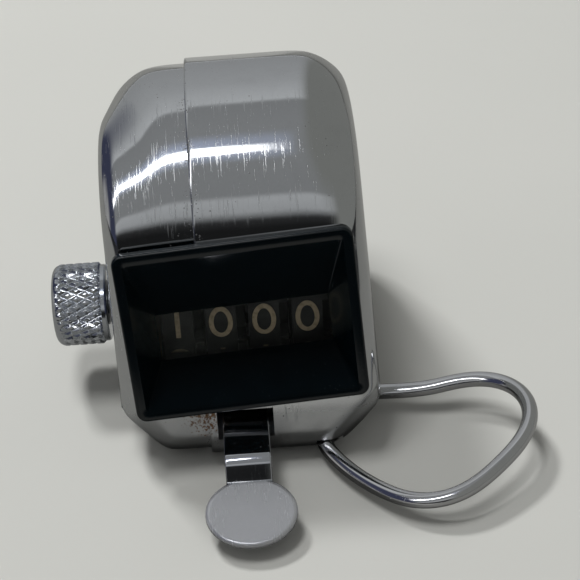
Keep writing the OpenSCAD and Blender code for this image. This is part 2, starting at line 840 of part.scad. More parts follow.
module ring_rivets() {
    color(steel)
        for (p = rivet_at)
            translate([p[0], p[1], 0.05]) {
                cylinder(r = rivet_r, h = wall + 1);
                translate([0, 0, wall + 0.7 + 2 * seat_gap]) cylinder(r = 0.85, h = 0.4);
            }
}

left_case();
right_case();
bezel();
window_lens();
base_screws();
left_plate();
right_plate();
frame_bars();
base_rail();
detent_rail();
plate_screws();
left_bush();
right_bush();
reset_shaft();
reset_knob();
knob_screw();
knob_washer();
shaft_clip();
units_wheel();
tens_wheel();
hundreds_wheel();
thousands_wheel();
units_pawl();
tens_pawl();
hundreds_pawl();
thousands_pawl();
thumb_lever();
lever_pivot();
lever_spring();
drive_comb();
comb_pin();
comb_spring();
detent_comb();
detent_screws();
finger_ring();
ring_bracket();
ring_rivets();
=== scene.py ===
"""Looks of the hand tally counter: smooth chrome shells, a moulded window frame, painted
figures on the wheels, a knurled knob, a bent lever and a wire ring, built round the CAD frame."""
import math
from collections import namedtuple

import bmesh
import bpy
import numpy as np
from mathutils import Matrix, Vector


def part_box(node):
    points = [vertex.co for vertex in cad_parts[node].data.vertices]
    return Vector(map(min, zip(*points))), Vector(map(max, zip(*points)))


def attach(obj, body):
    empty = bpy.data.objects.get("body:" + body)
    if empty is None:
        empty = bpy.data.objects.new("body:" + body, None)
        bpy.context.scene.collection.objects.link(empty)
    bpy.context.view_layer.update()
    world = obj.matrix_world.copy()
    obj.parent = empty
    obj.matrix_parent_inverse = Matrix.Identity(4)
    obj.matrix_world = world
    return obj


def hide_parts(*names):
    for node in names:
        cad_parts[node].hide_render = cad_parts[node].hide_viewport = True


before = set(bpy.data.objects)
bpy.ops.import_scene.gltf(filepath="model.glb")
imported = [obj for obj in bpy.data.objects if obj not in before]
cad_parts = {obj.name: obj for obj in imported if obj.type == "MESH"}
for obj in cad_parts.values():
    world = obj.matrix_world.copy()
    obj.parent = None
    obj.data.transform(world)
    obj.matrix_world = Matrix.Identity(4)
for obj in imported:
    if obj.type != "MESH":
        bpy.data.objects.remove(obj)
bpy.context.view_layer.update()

MM = 0.001

# ---------- places and sizes, in metres ----------

case_lo, case_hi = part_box("right_case")
left_lo, left_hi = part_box("left_case")
HALF_W = case_hi.x
STEP_IN = left_lo.x + HALF_W              # the left shell is this much smaller
WALL = 0.65 * MM
SEAM_X = case_lo.x
TONGUE_X = left_hi.x                      # the left shell's tongue ends here, inside the right one

TOP_R = 18 * MM
TOP_Y = 3.1 * MM
TOP_Z = case_hi.z - TOP_R
FACE_TILT = math.radians(18)
FACE_N = Vector((0, -math.cos(FACE_TILT), math.sin(FACE_TILT)))
FACE_V = Vector((0, math.sin(FACE_TILT), math.cos(FACE_TILT)))
FACE_CONST = FACE_N.y * TOP_Y + FACE_N.z * TOP_Z + TOP_R
FACE_Z0 = 9 * MM                          # height of the bezel's lower edge
FACE_Y0 = (FACE_CONST - FACE_Z0 * FACE_N.z) / FACE_N.y
NOSE_R = 4 * MM
NOSE_Y = (FACE_CONST - NOSE_R - NOSE_R * FACE_N.z) / FACE_N.y
BROW_R = 14 * MM
BACK_R = 14 * MM
BACK_Y = 7.2 * MM

Disc = namedtuple("Disc", "y z r half rim_x rim_r shift", defaults=[0.0])
BIG = Disc(TOP_Y, TOP_Z, TOP_R, HALF_W - 1.1 * MM, 7.2 * MM, 6.3 * MM)
BROW = Disc(TOP_Y + (TOP_R - BROW_R) * FACE_N.y, TOP_Z + (TOP_R - BROW_R) * FACE_N.z,
            BROW_R, HALF_W - 0.65 * MM, 2.6 * MM, 2.6 * MM, -0.65 * MM)
FRONT = Disc(FACE_Y0 - NOSE_R * FACE_N.y, FACE_Z0 - NOSE_R * FACE_N.z,
             NOSE_R, HALF_W, 2.5 * MM, 2.5 * MM)
NOSE = Disc(NOSE_Y, NOSE_R, NOSE_R, HALF_W - 2.5 * MM, 4 * MM, 4 * MM)
BACK = Disc(BACK_Y, BACK_R, BACK_R, HALF_W, 5.5 * MM, 6 * MM)
DISCS = [BIG, BROW, FRONT, NOSE, BACK]

BEZEL_W = 29.5 * MM
BEZEL_H = 22.6 * MM
BEZEL_PROUD = 1.1 * MM
BEZEL_SKEW = math.radians(3.5)            # the bezel sits a little crooked
RIM_W = 1.25 * MM
WINDOW_W = 22.2 * MM
WINDOW_V0 = 5 * MM
WINDOW_V1 = 11.4 * MM
WINDOW_DEPTH = 6 * MM

wheel_lo, wheel_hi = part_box("units_wheel")
AXIS_Y = (wheel_lo.y + wheel_hi.y) / 2
AXIS_Z = (wheel_lo.z + wheel_hi.z) / 2
WHEEL_R = (wheel_hi.z - wheel_lo.z) / 2
WHEEL_RIM = 4 * MM
SHOWN_ANGLE = math.radians(18)            # the shown figure's direction, up from the front
FIGURE_STEP = math.radians(36)
FIGURE_W = 3.1 * MM
FIGURE_H = 4.3 * MM
FIGURE_STROKE = 0.62 * MM
FIGURE_RISE = 0.05 * MM
SHADE_Z = (AXIS_Z - 1.6 * MM, AXIS_Z - 0.6 * MM)   # painted shade: the figures' paint is dark below, full above these heights

knob_lo, knob_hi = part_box("reset_knob")
KNOB_R = (knob_hi.z - knob_lo.z) / 2
KNOB_SHOULDER = 0.8 * MM
KNURL_TURNS = 30                          # diamonds round the knob
KNURL_PITCH = 2.3 * MM                    # length of a diamond
KNURL_DEPTH = 0.32 * MM

pivot_lo, pivot_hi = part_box("lever_pivot")
PIVOT_Y = (pivot_lo.y + pivot_hi.y) / 2
PIVOT_Z = (pivot_lo.z + pivot_hi.z) / 2
comb_lo, comb_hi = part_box("comb_pin")
COMB_Y = (comb_lo.y + comb_hi.y) / 2
COMB_Z = (comb_lo.z + comb_hi.z) / 2
LEVER_X = -0.5 * MM
LEVER_W = 5.8 * MM
LEVER_T = 0.9 * MM
STRIP_Z = 6.9 * MM
BEND_Y = -27.4 * MM
BEND_R = 1.2 * MM
BEND_ANGLE = math.radians(62)
BEND_DROP = 1.95 * MM
CREASE_R = 0.6 * MM
PAD_PITCH = math.radians(12)
PAD_W = 11.4 * MM
PAD_LEN = 9.5 * MM
HUB_R = 1.7 * MM
HUB_X = (-8.4 * MM, 12.05 * MM)
SLOT_W = 7.2 * MM
SLOT_Z = (4.6 * MM, 8.5 * MM)

HINGE_X = 9.5 * MM
HINGE_Z = 1.9 * MM
RING_C = Vector((23.55 * MM, -23.2 * MM))
RING_R = 10.7 * MM
RING_LOBES = [(2, 1.15 * MM, 9), (3, 0.83 * MM, 27)]   # count, height and direction of its swells
NEAR_DIR, FAR_DIR = 232, 438              # where the arms join the loop, in degrees
NEAR_REACH = (0.95 * MM, 6.5 * MM)        # how straight the near arm leaves the case and the loop
FAR_REACH = (4.7 * MM, 5.9 * MM)          # how straight the far arm leaves the loop and the case
RING_FAR_Y = -12.7 * MM
RING_BEND = 1.5 * MM
RING_CLIMB = 0.18                         # rise of the loop away from the case
CLIMB_X = 15 * MM
CLIMB_EASE = 4 * MM
WIRE_R = 1 * MM
EXIT_Y = -21.6 * MM
NEAR_END_Y = -16.8 * MM
FAR_END_Y = -16.4 * MM


# ---------- mesh helpers ----------

def new_object(name, verts, faces):
    mesh = bpy.data.meshes.new(name)
    mesh.from_pydata([tuple(v) for v in verts], [], faces)
    mesh.validate()
    mesh.update()
    obj = bpy.data.objects.new(name, mesh)
    bpy.context.scene.collection.objects.link(obj)
    return obj


def band_faces(first, second, count, closed=True):
    """Quads between two loops of count vertices that start at first and second."""
    steps = count if closed else count - 1
    return [(first + k, first + (k + 1) % count, second + (k + 1) % count, second + k)
            for k in range(steps)]


def loft(name, loops, capped=True):
    """Closed loops of equal length joined in order; capped ends, or joined end to end."""
    count = len(loops[0])
    verts = [p for loop in loops for p in loop]
    faces = []
    for i in range(len(loops) - 1):
        faces += band_faces(i * count, (i + 1) * count, count)
    if capped:
        faces.append(tuple(range(count - 1, -1, -1)))
        faces.append(tuple((len(loops) - 1) * count + k for k in range(count)))
    else:
        faces += band_faces((len(loops) - 1) * count, 0, count)
    return outward(new_object(name, verts, faces))


def outward(obj):
    """Turns a closed mesh's faces to look outward."""
    bm = bmesh.new()
    bm.from_mesh(obj.data)
    bmesh.ops.recalc_face_normals(bm, faces=bm.faces)
    bm.to_mesh(obj.data)
    bm.free()
    return obj


def apply_modifiers(obj):
    graph = bpy.context.evaluated_depsgraph_get()
    mesh = bpy.data.meshes.new_from_object(obj.evaluated_get(graph))
    obj.modifiers.clear()
    obj.data = mesh


def combine(obj, tool, operation="DIFFERENCE"):
    """Cuts tool from obj, or joins it to obj, and throws the tool away."""
    mod = obj.modifiers.new("combine", "BOOLEAN")
    mod.operation = operation
    mod.solver = "MANIFOLD"
    mod.object = tool
    bpy.context.view_layer.update()
    apply_modifiers(obj)
    bpy.data.objects.remove(tool)
    if len(obj.data.vertices) == 0:
        raise RuntimeError(f"{obj.name}: the boolean left nothing")
    return obj


def finish_piece(obj, body, material, replaced=(), sharp=35, by_area=False):
    """Smooth shading with sharp creases, a material, and the piece's place in the frame."""
    obj.data.materials.clear()
    obj.data.materials.append(material)
    obj.data.polygons.foreach_set("use_smooth", [True] * len(obj.data.polygons))
    obj.data.set_sharp_from_angle(angle=math.radians(sharp))
    if by_area:
        normals = obj.modifiers.new("normals", "WEIGHTED_NORMAL")
        normals.keep_sharp = True
        apply_modifiers(obj)
    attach(obj, body)
    if replaced:
        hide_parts(*replaced)
    return obj


def circle(radius, count, start=0.0):
    return [(radius * math.cos(start + 2 * math.pi * k / count),
             radius * math.sin(start + 2 * math.pi * k / count)) for k in range(count)]


def soft_rect(width, v0, v1, radius, steps=8):
    """Rectangle with round corners, centred across, as points in order."""
    corners = [(width / 2 - radius, v1 - radius), (-width / 2 + radius, v1 - radius),
               (-width / 2 + radius, v0 + radius), (width / 2 - radius, v0 + radius)]
    points = []
    for i, (cx, cy) in enumerate(corners):
        for k in range(steps + 1):
            a = math.pi / 2 * (i + k / steps)
            points.append((cx + radius * math.cos(a), cy + radius * math.sin(a)))
    return points


def prism(name, outline, place, w0, w1):
    """A flat outline pushed from w0 to w1 along the third axis of place."""
    return loft(name, [[place(u, v, w) for u, v in outline] for w in (w0, w1)])


def box_tool(name, lo, hi):
    outline = [(lo[0], lo[1]), (hi[0], lo[1]), (hi[0], hi[1]), (lo[0], hi[1])]
    return prism(name, outline, lambda u, v, w: Vector((u, v, w)), lo[2], hi[2])


def rod_x(name, y, z, radius, x0, x1, count=64):
    return prism(name, circle(radius, count), lambda u, v, w: Vector((w, y + u, z + v)), x0, x1)


def rod_z(name, x, y, radii, heights, count=48):
    """Round bar along Z whose radius changes between heights."""
    return loft(name, [[Vector((x + u, y + v, h)) for u, v in circle(r, count)]
                       for r, h in zip(radii, heights)])


def plate_x(name, outline, x0, x1):
    return prism(name, outline, lambda u, v, w: Vector((w, u, v)), x0, x1)


def on_face(u, v, w):
    """Point on the front face: u across, v up the face, w out of it, with the bezel's skew."""
    c, s = math.cos(BEZEL_SKEW), math.sin(BEZEL_SKEW)
    up = v - BEZEL_H / 2
    across, along = u * c - up * s, u * s + up * c + BEZEL_H / 2
    return Vector((across, FACE_Y0, FACE_Z0)) + FACE_V * along + FACE_N * w


# ---------- case shells ----------

SHAFT_HOLE_R = 2 * MM
BUSH_SEAT_R = 2.8 * MM
SCREW_HOLE_R = 0.82 * MM
RIVET_HOLE_R = 0.62 * MM
HEAD_DEPTH = 0.8 * MM
RIVET_HEAD_R = 0.85 * MM
ARM_SLOT = (3.6 * MM, 0.8 * MM, 3.1 * MM)      # width, lowest and highest edge of the near arm's slot
FAR_SLOT = (9.65 * MM, -1 * MM, 4.1 * MM)      # the same for the far arm's
PAST = MM                                 # how far a cutting tool goes past what it cuts

KEPT_LOOPS = 4                            # loops at a skin's first end that stay where they are
EASE_ROUNDS = 14
CORNER_ROUNDS = 60
EASE_OVER = 3 * MM                        # the corners' rounding fades in over this length
LOW_TOP_Z = 9.5 * MM                      # the low front corners are under this
LOW_FRONT_Y = -10 * MM                    # and in front of this
HIGH_FROM_Z = 23 * MM                     # the high corners are over this
HIGH_OVER = 4 * MM
HIGH_SHARE = 0.5
CORNER_FROM_X = 10.5 * MM                 # both are farther out than this


def disc_radius(disc, x, inset, side):
    """A rounded disc's radius at each x, and minus infinity past its ends."""
    r, half = disc.r - inset, disc.half - inset
    rim = min(disc.rim_r, r)
    over = np.clip((np.abs(x - side * disc.shift) - (half - disc.rim_x)) / disc.rim_x, 0, None)
    radius = r - rim + rim * np.sqrt(np.clip(1 - over ** 2, 0, 1))
    return np.where(over <= 1 + 1e-9, radius, -np.inf)


def above(x, f):
    """The least curve over f that never sags, at each x."""
    hull = []
    for px, pf in zip(x, f):
        if pf == -np.inf:
            continue
        while len(hull) > 1:
            (ax, af), (bx, bf) = hull[-2], hull[-1]
            if (bf - af) * (px - bx) <= (pf - bf) * (bx - ax):
                hull.pop()
            else:
                break
        hull.append((px, pf))
    hx, hf = zip(*hull)
    return np.interp(x, hx, hf)


def case_sections(xs, inset, count, side, directions=720):
    """Outlines, in (y, z), of the form stretched over the discs, at each x of xs towards side."""
    both = np.unique(np.concatenate([xs, -xs]))
    angles = math.pi / 2 + 2 * math.pi * np.arange(directions) / directions
    radii = [disc_radius(d, both, inset, side) for d in DISCS]
    reach = np.empty((directions, len(both)))
    for k, a in enumerate(angles):
        along = [d.y * math.cos(a) + d.z * math.sin(a) + r for d, r in zip(DISCS, radii)]
        reach[k] = above(both, np.max(along, axis=0))
    step = 2 * math.pi / directions
    turn = (np.roll(reach, -1, 0) - reach * math.cos(step)) / math.sin(step)
    ca, sa = np.cos(angles)[:, None], np.sin(angles)[:, None]
    y, z = reach * ca - turn * sa, reach * sa + turn * ca
    sections = []
    for x in xs:
        i = int(np.argmin(np.abs(both - x)))
        py, pz = np.append(y[:, i], y[0, i]), np.append(z[:, i], z[0, i])
        length = np.concatenate([[0], np.cumsum(np.hypot(np.diff(py), np.diff(pz)))])
        at = np.linspace(0, length[-1], count, endpoint=False)
        sections.append(np.stack([np.interp(at, length, py), np.interp(at, length, pz)], 1))
    return sections


def shell_stations(start, half):
    """Places across the width: even in the middle, closer together over the rounded side."""
    flat = np.linspace(start, half - BIG.rim_x, max(3, int((half - BIG.rim_x - start) / (0.5 * MM))))
    wide = half - BIG.rim_x + BIG.rim_x * np.sin(np.linspace(0, math.pi / 2, 34))
    tight = half - BROW.rim_x + BROW.rim_x * np.sin(np.linspace(0, math.pi / 2, 22))
    stations = np.unique(np.round(np.concatenate([flat, wide, tight]), 7))
    keep = np.append(True, np.diff(stations) > 0.02 * MM)
    return stations[keep]


def relaxed(skin_loops):
    """Eases the change from one loop to the next, and rounds the outer corners high and low."""
    grid = np.array(skin_loops)
    if len(grid) > KEPT_LOOPS * 2:
        inside = slice(KEPT_LOOPS, -1)
        for _ in range(EASE_ROUNDS):
            grid[inside] += (grid[KEPT_LOOPS - 1:-2] + grid[KEPT_LOOPS + 1:] - 2 * grid[inside]) / 4
        low = np.clip((LOW_TOP_Z - grid[..., 2]) / EASE_OVER, 0, 1)
        front = np.clip((LOW_FRONT_Y - grid[..., 1]) / EASE_OVER, 0, 1)
        high = np.clip((grid[..., 2] - HIGH_FROM_Z) / HIGH_OVER, 0, 1)
        outer = np.clip((np.abs(grid[..., 0]) - CORNER_FROM_X) / EASE_OVER, 0, 1)
        share = (np.maximum(low * front, HIGH_SHARE * high) * outer)[inside, :, None]
        for _ in range(CORNER_ROUNDS):
            across = (grid[KEPT_LOOPS - 1:-2] + grid[KEPT_LOOPS + 1:]) / 2
            around = (np.roll(grid, 1, 1) + np.roll(grid, -1, 1))[inside] / 2
            grid[inside] += share * ((across + around) / 2 - grid[inside]) / 2
    return [[Vector(p) for p in loop] for loop in grid]


def shell(name, side, open_x, inset, count=300):
    """One shell: outer skin, inner skin and the lip between them. side is +1 or -1."""
    lip = 0.12 * MM
    loops = []
    outer_half, inner_half = HALF_W - inset, HALF_W - inset - WALL
    edge = open_x * side

    def stations(half):
        near_edge = edge + np.array([0.2, 0.4, 0.7]) * MM
        return np.concatenate([near_edge, shell_stations(edge + 1.2 * MM, half)])

    def add(xs, skin):
        xs = np.asarray(xs, float)
        skin_loops = [np.column_stack([np.full(count, side * x), section])
                      for x, section in zip(xs, case_sections(xs, skin, count, side))]
        loops.extend(relaxed(skin_loops))

    add(stations(inner_half)[::-1], inset + WALL)
    add([edge], inset + WALL)
    for k in range(4):
        a = math.pi / 2 * k / 3
        add([edge + lip * (1 - math.sin(a))], inset + lip * (1 - math.cos(a)))
    add(stations(outer_half), inset)
    return loft(name, loops)


def cut_openings(obj, tag):
    """The window opening, the lever's slot, the shaft's hole and the holes in the base."""
    window = soft_rect(BEZEL_W - 1.5 * MM, 0.75 * MM, BEZEL_H - 0.75 * MM, 1 * MM)
    combine(obj, prism(tag, window, on_face, -4 * MM, 4 * MM))
    slot_x = LEVER_X - SLOT_W / 2
    combine(obj, box_tool(tag, (slot_x, -30 * MM, SLOT_Z[0]), (slot_x + SLOT_W, -18 * MM, SLOT_Z[1])))
    combine(obj, rod_x(tag, AXIS_Y, AXIS_Z, SHAFT_HOLE_R, -HALF_W - PAST, -HALF_W + 3 * MM))
    combine(obj, rod_x(tag, AXIS_Y, AXIS_Z, BUSH_SEAT_R, -HALF_W - PAST, -HALF_W + STEP_IN))
    arm_x = HINGE_X - 1.15 * MM
    width, low, high = ARM_SLOT
    combine(obj, box_tool(tag, (arm_x, -26 * MM, low), (arm_x + width, -18.4 * MM, high)))
    width, low, high = FAR_SLOT
    combine(obj, box_tool(tag, (arm_x, RING_FAR_Y - 2.2 * MM, low),
                          (arm_x + width, RING_FAR_Y + 1.2 * MM, high)))
    screws_lo, screws_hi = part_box("base_screws")
    head_r = (screws_hi.y - screws_lo.y) / 2 + 0.02 * MM
    for x in (screws_lo.x + head_r, screws_hi.x - head_r):
        combine(obj, rod_z(tag, x, (screws_lo.y + screws_hi.y) / 2,
                           (head_r, head_r, SCREW_HOLE_R, SCREW_HOLE_R),
                           (-PAST, 0, HEAD_DEPTH, 4 * MM)))
    rivets_lo, rivets_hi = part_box("ring_rivets")
    for x in (rivets_lo.x + RIVET_HEAD_R, rivets_hi.x - RIVET_HEAD_R):
        combine(obj, rod_z(tag, x, (rivets_lo.y + rivets_hi.y) / 2,
                           (RIVET_HOLE_R, RIVET_HOLE_R), (-PAST, 2 * MM)))
    return obj


# ---------- bezel ----------

def bezel_mesh():
    """The frame's skin as a chain of round-cornered rectangles, from the seat over the rim."""
    edge = 0.3 * MM
    corner = 1.3 * MM

    def rect(inset, w, radius):
        return [on_face(u, v, w) for u, v in
                soft_rect(BEZEL_W - 2 * inset, inset, BEZEL_H - inset, radius)]

    def funnel(t, grow=0.0):
        """Rectangle between the rim's inner edge (t = 0) and the window (t = 1)."""
        width = (BEZEL_W - 2 * RIM_W) * (1 - t) + WINDOW_W * t + 2 * grow
        v0 = RIM_W * (1 - t) + WINDOW_V0 * t - grow
        v1 = (BEZEL_H - RIM_W) * (1 - t) + WINDOW_V1 * t + grow
        depth = BEZEL_PROUD * (1 - t) - WINDOW_DEPTH * t
        corner_r = 0.55 * MM * (1 - t) + 0.12 * MM
        return [on_face(u, v, depth) for u, v in soft_rect(width, v0, v1, corner_r)]

    loops = [rect(0, 0.02 * MM, corner), rect(0, 0.4 * MM, corner)]
    for k in range(7):
        a = math.pi / 2 * k / 6
        loops.append(rect(edge * (1 - math.cos(a)), BEZEL_PROUD - edge * (1 - math.sin(a)),
                          corner - edge * (1 - math.cos(a))))
    loops.append(rect(RIM_W - 0.28 * MM, BEZEL_PROUD - 0.02 * MM, 0.75 * MM))
    loops.append(rect(RIM_W - 0.12 * MM, BEZEL_PROUD - 0.06 * MM, 0.68 * MM))
    for t in (0.012, 0.03, 0.06, 0.2, 0.4, 0.6, 0.8, 0.94, 1.0):
        loops.append(funnel(t))
    loops.append([p for p in funnel(1.0, 1.1 * MM)])
    loops.append(rect(0.9 * MM, -1.6 * MM, 0.9 * MM))
    loops.append(rect(0.8 * MM, 0.02 * MM, 0.95 * MM))
    return loft("window_frame", loops, capped=False)


# ---------- figures ----------

def arc(cx, cy, rx, ry, a0, a1, steps=20):
    return [(cx + rx * math.cos(math.radians(a0 + (a1 - a0) * k / steps)),
             cy + ry * math.sin(math.radians(a0 + (a1 - a0) * k / steps)))
            for k in range(steps + 1)]


def figure_strokes(digit):
    """Middle lines of a figure's strokes, in a box two wide and two high."""
    loop6 = arc(0, -0.4, 1, 0.6, 0, 360, 32)
    tail6 = arc(1.0, -0.4, 2.0, 1.4, 180, 106, 12)
    shapes = {
        0: [arc(0, 0, 1, 1, 0, 360, 40)],
        1: [[(0, -1), (0, 1)]],
        2: [arc(0, 0.42, 1, 0.58, 165, -30) + [(-1, -1)], [(-1, -1), (1, -1)]],
        3: [arc(0, 0.48, 0.9, 0.52, 150, -90), arc(0, -0.48, 1, 0.52, 90, -150)],
        4: [[(0.45, -1), (0.45, 1), (-1, -0.4)], [(-1, -0.4), (1, -0.4)]],
        5: [[(0.85, 1), (-0.75, 1), (-0.85, 0.15)] + arc(-0.05, -0.35, 1, 0.65, 130, -150)],
        6: [loop6, tail6],
        7: [[(-1, 1), (1, 1)], [(1, 1), (-0.3, -1)]],
        8: [arc(0, 0.5, 0.85, 0.5, 0, 360, 32), arc(0, -0.5, 1, 0.5, 0, 360, 32)],
        9: [[(-x, -y) for x, y in loop6], [(-x, -y) for x, y in tail6]],
    }
    return shapes[digit]


def stroke_mesh(line, place, verts, faces):
    """A raised ribbon along a middle line; place puts (across, up, height) on the wheel."""
    half = FIGURE_STROKE / 2
    points = []
    for (x0, y0), (x1, y1) in zip(line[:-1], line[1:]):
        pieces = max(1, int(math.hypot(x1 - x0, y1 - y0) / (0.35 * MM)))
        points += [(x0 + (x1 - x0) * k / pieces, y0 + (y1 - y0) * k / pieces) for k in range(pieces)]
    points.append(line[-1])
    closed = math.hypot(points[0][0] - points[-1][0], points[0][1] - points[-1][1]) < 1e-7
    if closed:
        points.pop()
    n = len(points)
    start = len(verts)
    for i, (x, y) in enumerate(points):
        ax, ay = points[(i - 1) % n] if closed or i else points[0]
        bx, by = points[(i + 1) % n] if closed or i < n - 1 else points[-1]
        size = math.hypot(bx - ax, by - ay)
        nx, ny = -(by - ay) / size, (bx - ax) / size
        for side, height in ((1, -0.02 * MM), (1, FIGURE_RISE * 0.7), (0.85, FIGURE_RISE),
                             (-0.85, FIGURE_RISE), (-1, FIGURE_RISE * 0.7), (-1, -0.02 * MM)):
            verts.append(place(x + nx * half * side, y + ny * half * side, height))
    for i in range(n if closed else n - 1):
        faces += band_faces(start + 6 * i, start + 6 * ((i + 1) % n), 6)
    if not closed:
        faces.append(tuple(start + k for k in range(6)))
        faces.append(tuple(start + 6 * (n - 1) + k for k in range(5, -1, -1)))


def wheel_figures(name, node, shown):
    """The ten figures of one wheel, with the shown one facing the window."""
    lo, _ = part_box(node)
    middle = lo.x + WHEEL_RIM / 2
    half_w = (FIGURE_W - FIGURE_STROKE) / 2
    half_h = (FIGURE_H - FIGURE_STROKE) / 2
    verts, faces = [], []
    for digit in range(10):
        centre = SHOWN_ANGLE - FIGURE_STEP * (digit - shown)

        def place(x, y, height):
            a = centre + y / WHEEL_R
            r = WHEEL_R + height
            return Vector((middle + x, AXIS_Y - r * math.cos(a), AXIS_Z + r * math.sin(a)))

        for line in figure_strokes(digit):
            stroke_mesh([(x * half_w, y * half_h) for x, y in line], place, verts, faces)
    return outward(new_object(name, verts, faces))


# ---------- knob ----------

def ripple(t):
    """0 at whole numbers, 1 half way between them."""
    return 1 - abs(2 * (t - math.floor(t)) - 1)


def knob_mesh():
    around = KNURL_TURNS * 14
    length = knob_hi.x - knob_lo.x - KNOB_SHOULDER
    corner = 1.3 * MM
    stations = [(knob_lo.x + corner * (1 - math.sin(a)), KNOB_R - corner * (1 - math.cos(a)))
                for a in np.linspace(math.pi / 2, 0, 12)]
    for x in np.linspace(knob_lo.x + corner, knob_lo.x + length - 0.25 * MM, 62)[1:]:
        stations.append((x, KNOB_R))
    stations += [(knob_lo.x + length - 0.08 * MM, KNOB_R - 0.2 * MM),
                 (knob_lo.x + length, KNOB_R - 0.32 * MM)]
    shoulder = KNOB_R - 0.35 * MM
    stations += [(knob_lo.x + length + 0.03 * MM, shoulder), (knob_hi.x - 0.3 * MM, shoulder),
                 (knob_hi.x - 0.1 * MM, shoulder - 0.1 * MM), (knob_hi.x, shoulder - 0.3 * MM)]
    start, end = knob_lo.x + 0.55 * MM, knob_lo.x + length - 0.05 * MM
    loops = []
    for r in (1.2 * MM, 2.6 * MM, 3.6 * MM):
        loops.append([Vector((knob_lo.x, AXIS_Y + u, AXIS_Z + v)) for u, v in circle(r, around)])
    for x, r in stations:
        fade = min(1, max(0, (x - start) / (0.7 * MM))) if x < end else 0
        loop = []
        for k in range(around):
            a = 2 * math.pi * k / around
            turn, along = KNURL_TURNS * k / around, (x - knob_lo.x) / KNURL_PITCH
            height = min(1, 1.5 * min(ripple(turn + along), ripple(turn - along)))
            rr = r - KNURL_DEPTH * fade * (1 - height)
            loop.append(Vector((x, AXIS_Y + rr * math.cos(a), AXIS_Z + rr * math.sin(a))))
        loops.append(loop)
    loops.append([Vector((knob_hi.x, AXIS_Y + u, AXIS_Z + v)) for u, v in circle(2.4 * MM, around)])
    knob = loft("knurled_knob", loops)
    shaft_lo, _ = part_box("reset_shaft")
    combine(knob, rod_x("shaft_hole", AXIS_Y, AXIS_Z, 1.52 * MM, shaft_lo.x - 0.02 * MM, knob_hi.x + MM))
    screw_lo, screw_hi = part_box("knob_screw")
    combine(knob, rod_z("screw_hole", (screw_lo.x + screw_hi.x) / 2, AXIS_Y,
                        (0.82 * MM, 0.82 * MM), (AXIS_Z - KNOB_R - MM, AXIS_Z)))
    return knob


# ---------- lever ----------

def lever_line():
    """Middle line of the strip in (y, z), from the pivot out to the crease at the pad."""
    a1 = BEND_ANGLE
    c1 = (BEND_Y, STRIP_Z - BEND_R)
    end1 = (c1[0] - BEND_R * math.sin(a1), c1[1] + BEND_R * math.cos(a1))
    end2 = (end1[0] - BEND_DROP * math.cos(a1), end1[1] - BEND_DROP * math.sin(a1))
    c2 = (end2[0] - CREASE_R * math.sin(a1), end2[1] + CREASE_R * math.cos(a1))
    line = [(y, STRIP_Z) for y in np.linspace(PIVOT_Y, BEND_Y, 26)[:-1]]
    line += [(c1[0] - BEND_R * math.sin(a), c1[1] + BEND_R * math.cos(a))
             for a in np.linspace(0, a1, 22)]
    line += [(end1[0] + (end2[0] - end1[0]) * t, end1[1] + (end2[1] - end1[1]) * t)
             for t in (0.25, 0.5, 0.75)]
    line += [(c2[0] + CREASE_R * math.sin(a), c2[1] - CREASE_R * math.cos(a))
             for a in np.linspace(a1, PAD_PITCH, 12)]
    return line


def strip_mesh(line):
    edge = 0.2 * MM
    outline = soft_rect(LEVER_W, -LEVER_T / 2, LEVER_T / 2, edge, 5)
    loops = []
    for i, (y, z) in enumerate(line):
        ay, az = line[max(i - 1, 0)]
        by, bz = line[min(i + 1, len(line) - 1)]
        size = math.hypot(by - ay, bz - az)
        ny, nz = (bz - az) / size, -(by - ay) / size
        loops.append([Vector((LEVER_X + u, y + ny * v, z + nz * v)) for u, v in outline])
    return loft("press_lever", loops)


def pad_mesh(at, count=120):
    """The oval thumb pad, with a narrow bevel round its top."""
    c, s = math.cos(PAD_PITCH), math.sin(PAD_PITCH)
    half = LEVER_T / 2
    profile = [(0.5 * MM, -half), (0.16 * MM, -half), (0.04 * MM, -half + 0.06 * MM),
               (0, -half + 0.18 * MM), (0, half - 0.28 * MM), (0.03 * MM, half - 0.2 * MM),
               (0.24 * MM, half - 0.04 * MM), (0.3 * MM, half), (0.6 * MM, half), (1.6 * MM, half)]
    loops = []
    for inset, w in profile:
        loop = []
        for k in range(count):
            a = 2 * math.pi * k / count
            u = (PAD_W / 2 - inset) * math.cos(a)
            v = (PAD_LEN / 2 - inset) * math.sin(a) - PAD_LEN / 2 + 0.6 * MM
            loop.append(Vector((LEVER_X + u, at[0] + v * c - w * s, at[1] + v * s + w * c)))
        loops.append(loop)
    return loft("pad", loops)


def ear_outline():
    return [(PIVOT_Y + 0.6 * MM, PIVOT_Z + 1.5 * MM), (PIVOT_Y - 0.9 * MM, PIVOT_Z - 1.35 * MM),
            (COMB_Y - 0.5 * MM, COMB_Z - 1 * MM), (COMB_Y + 0.7 * MM, COMB_Z + 0.9 * MM)]


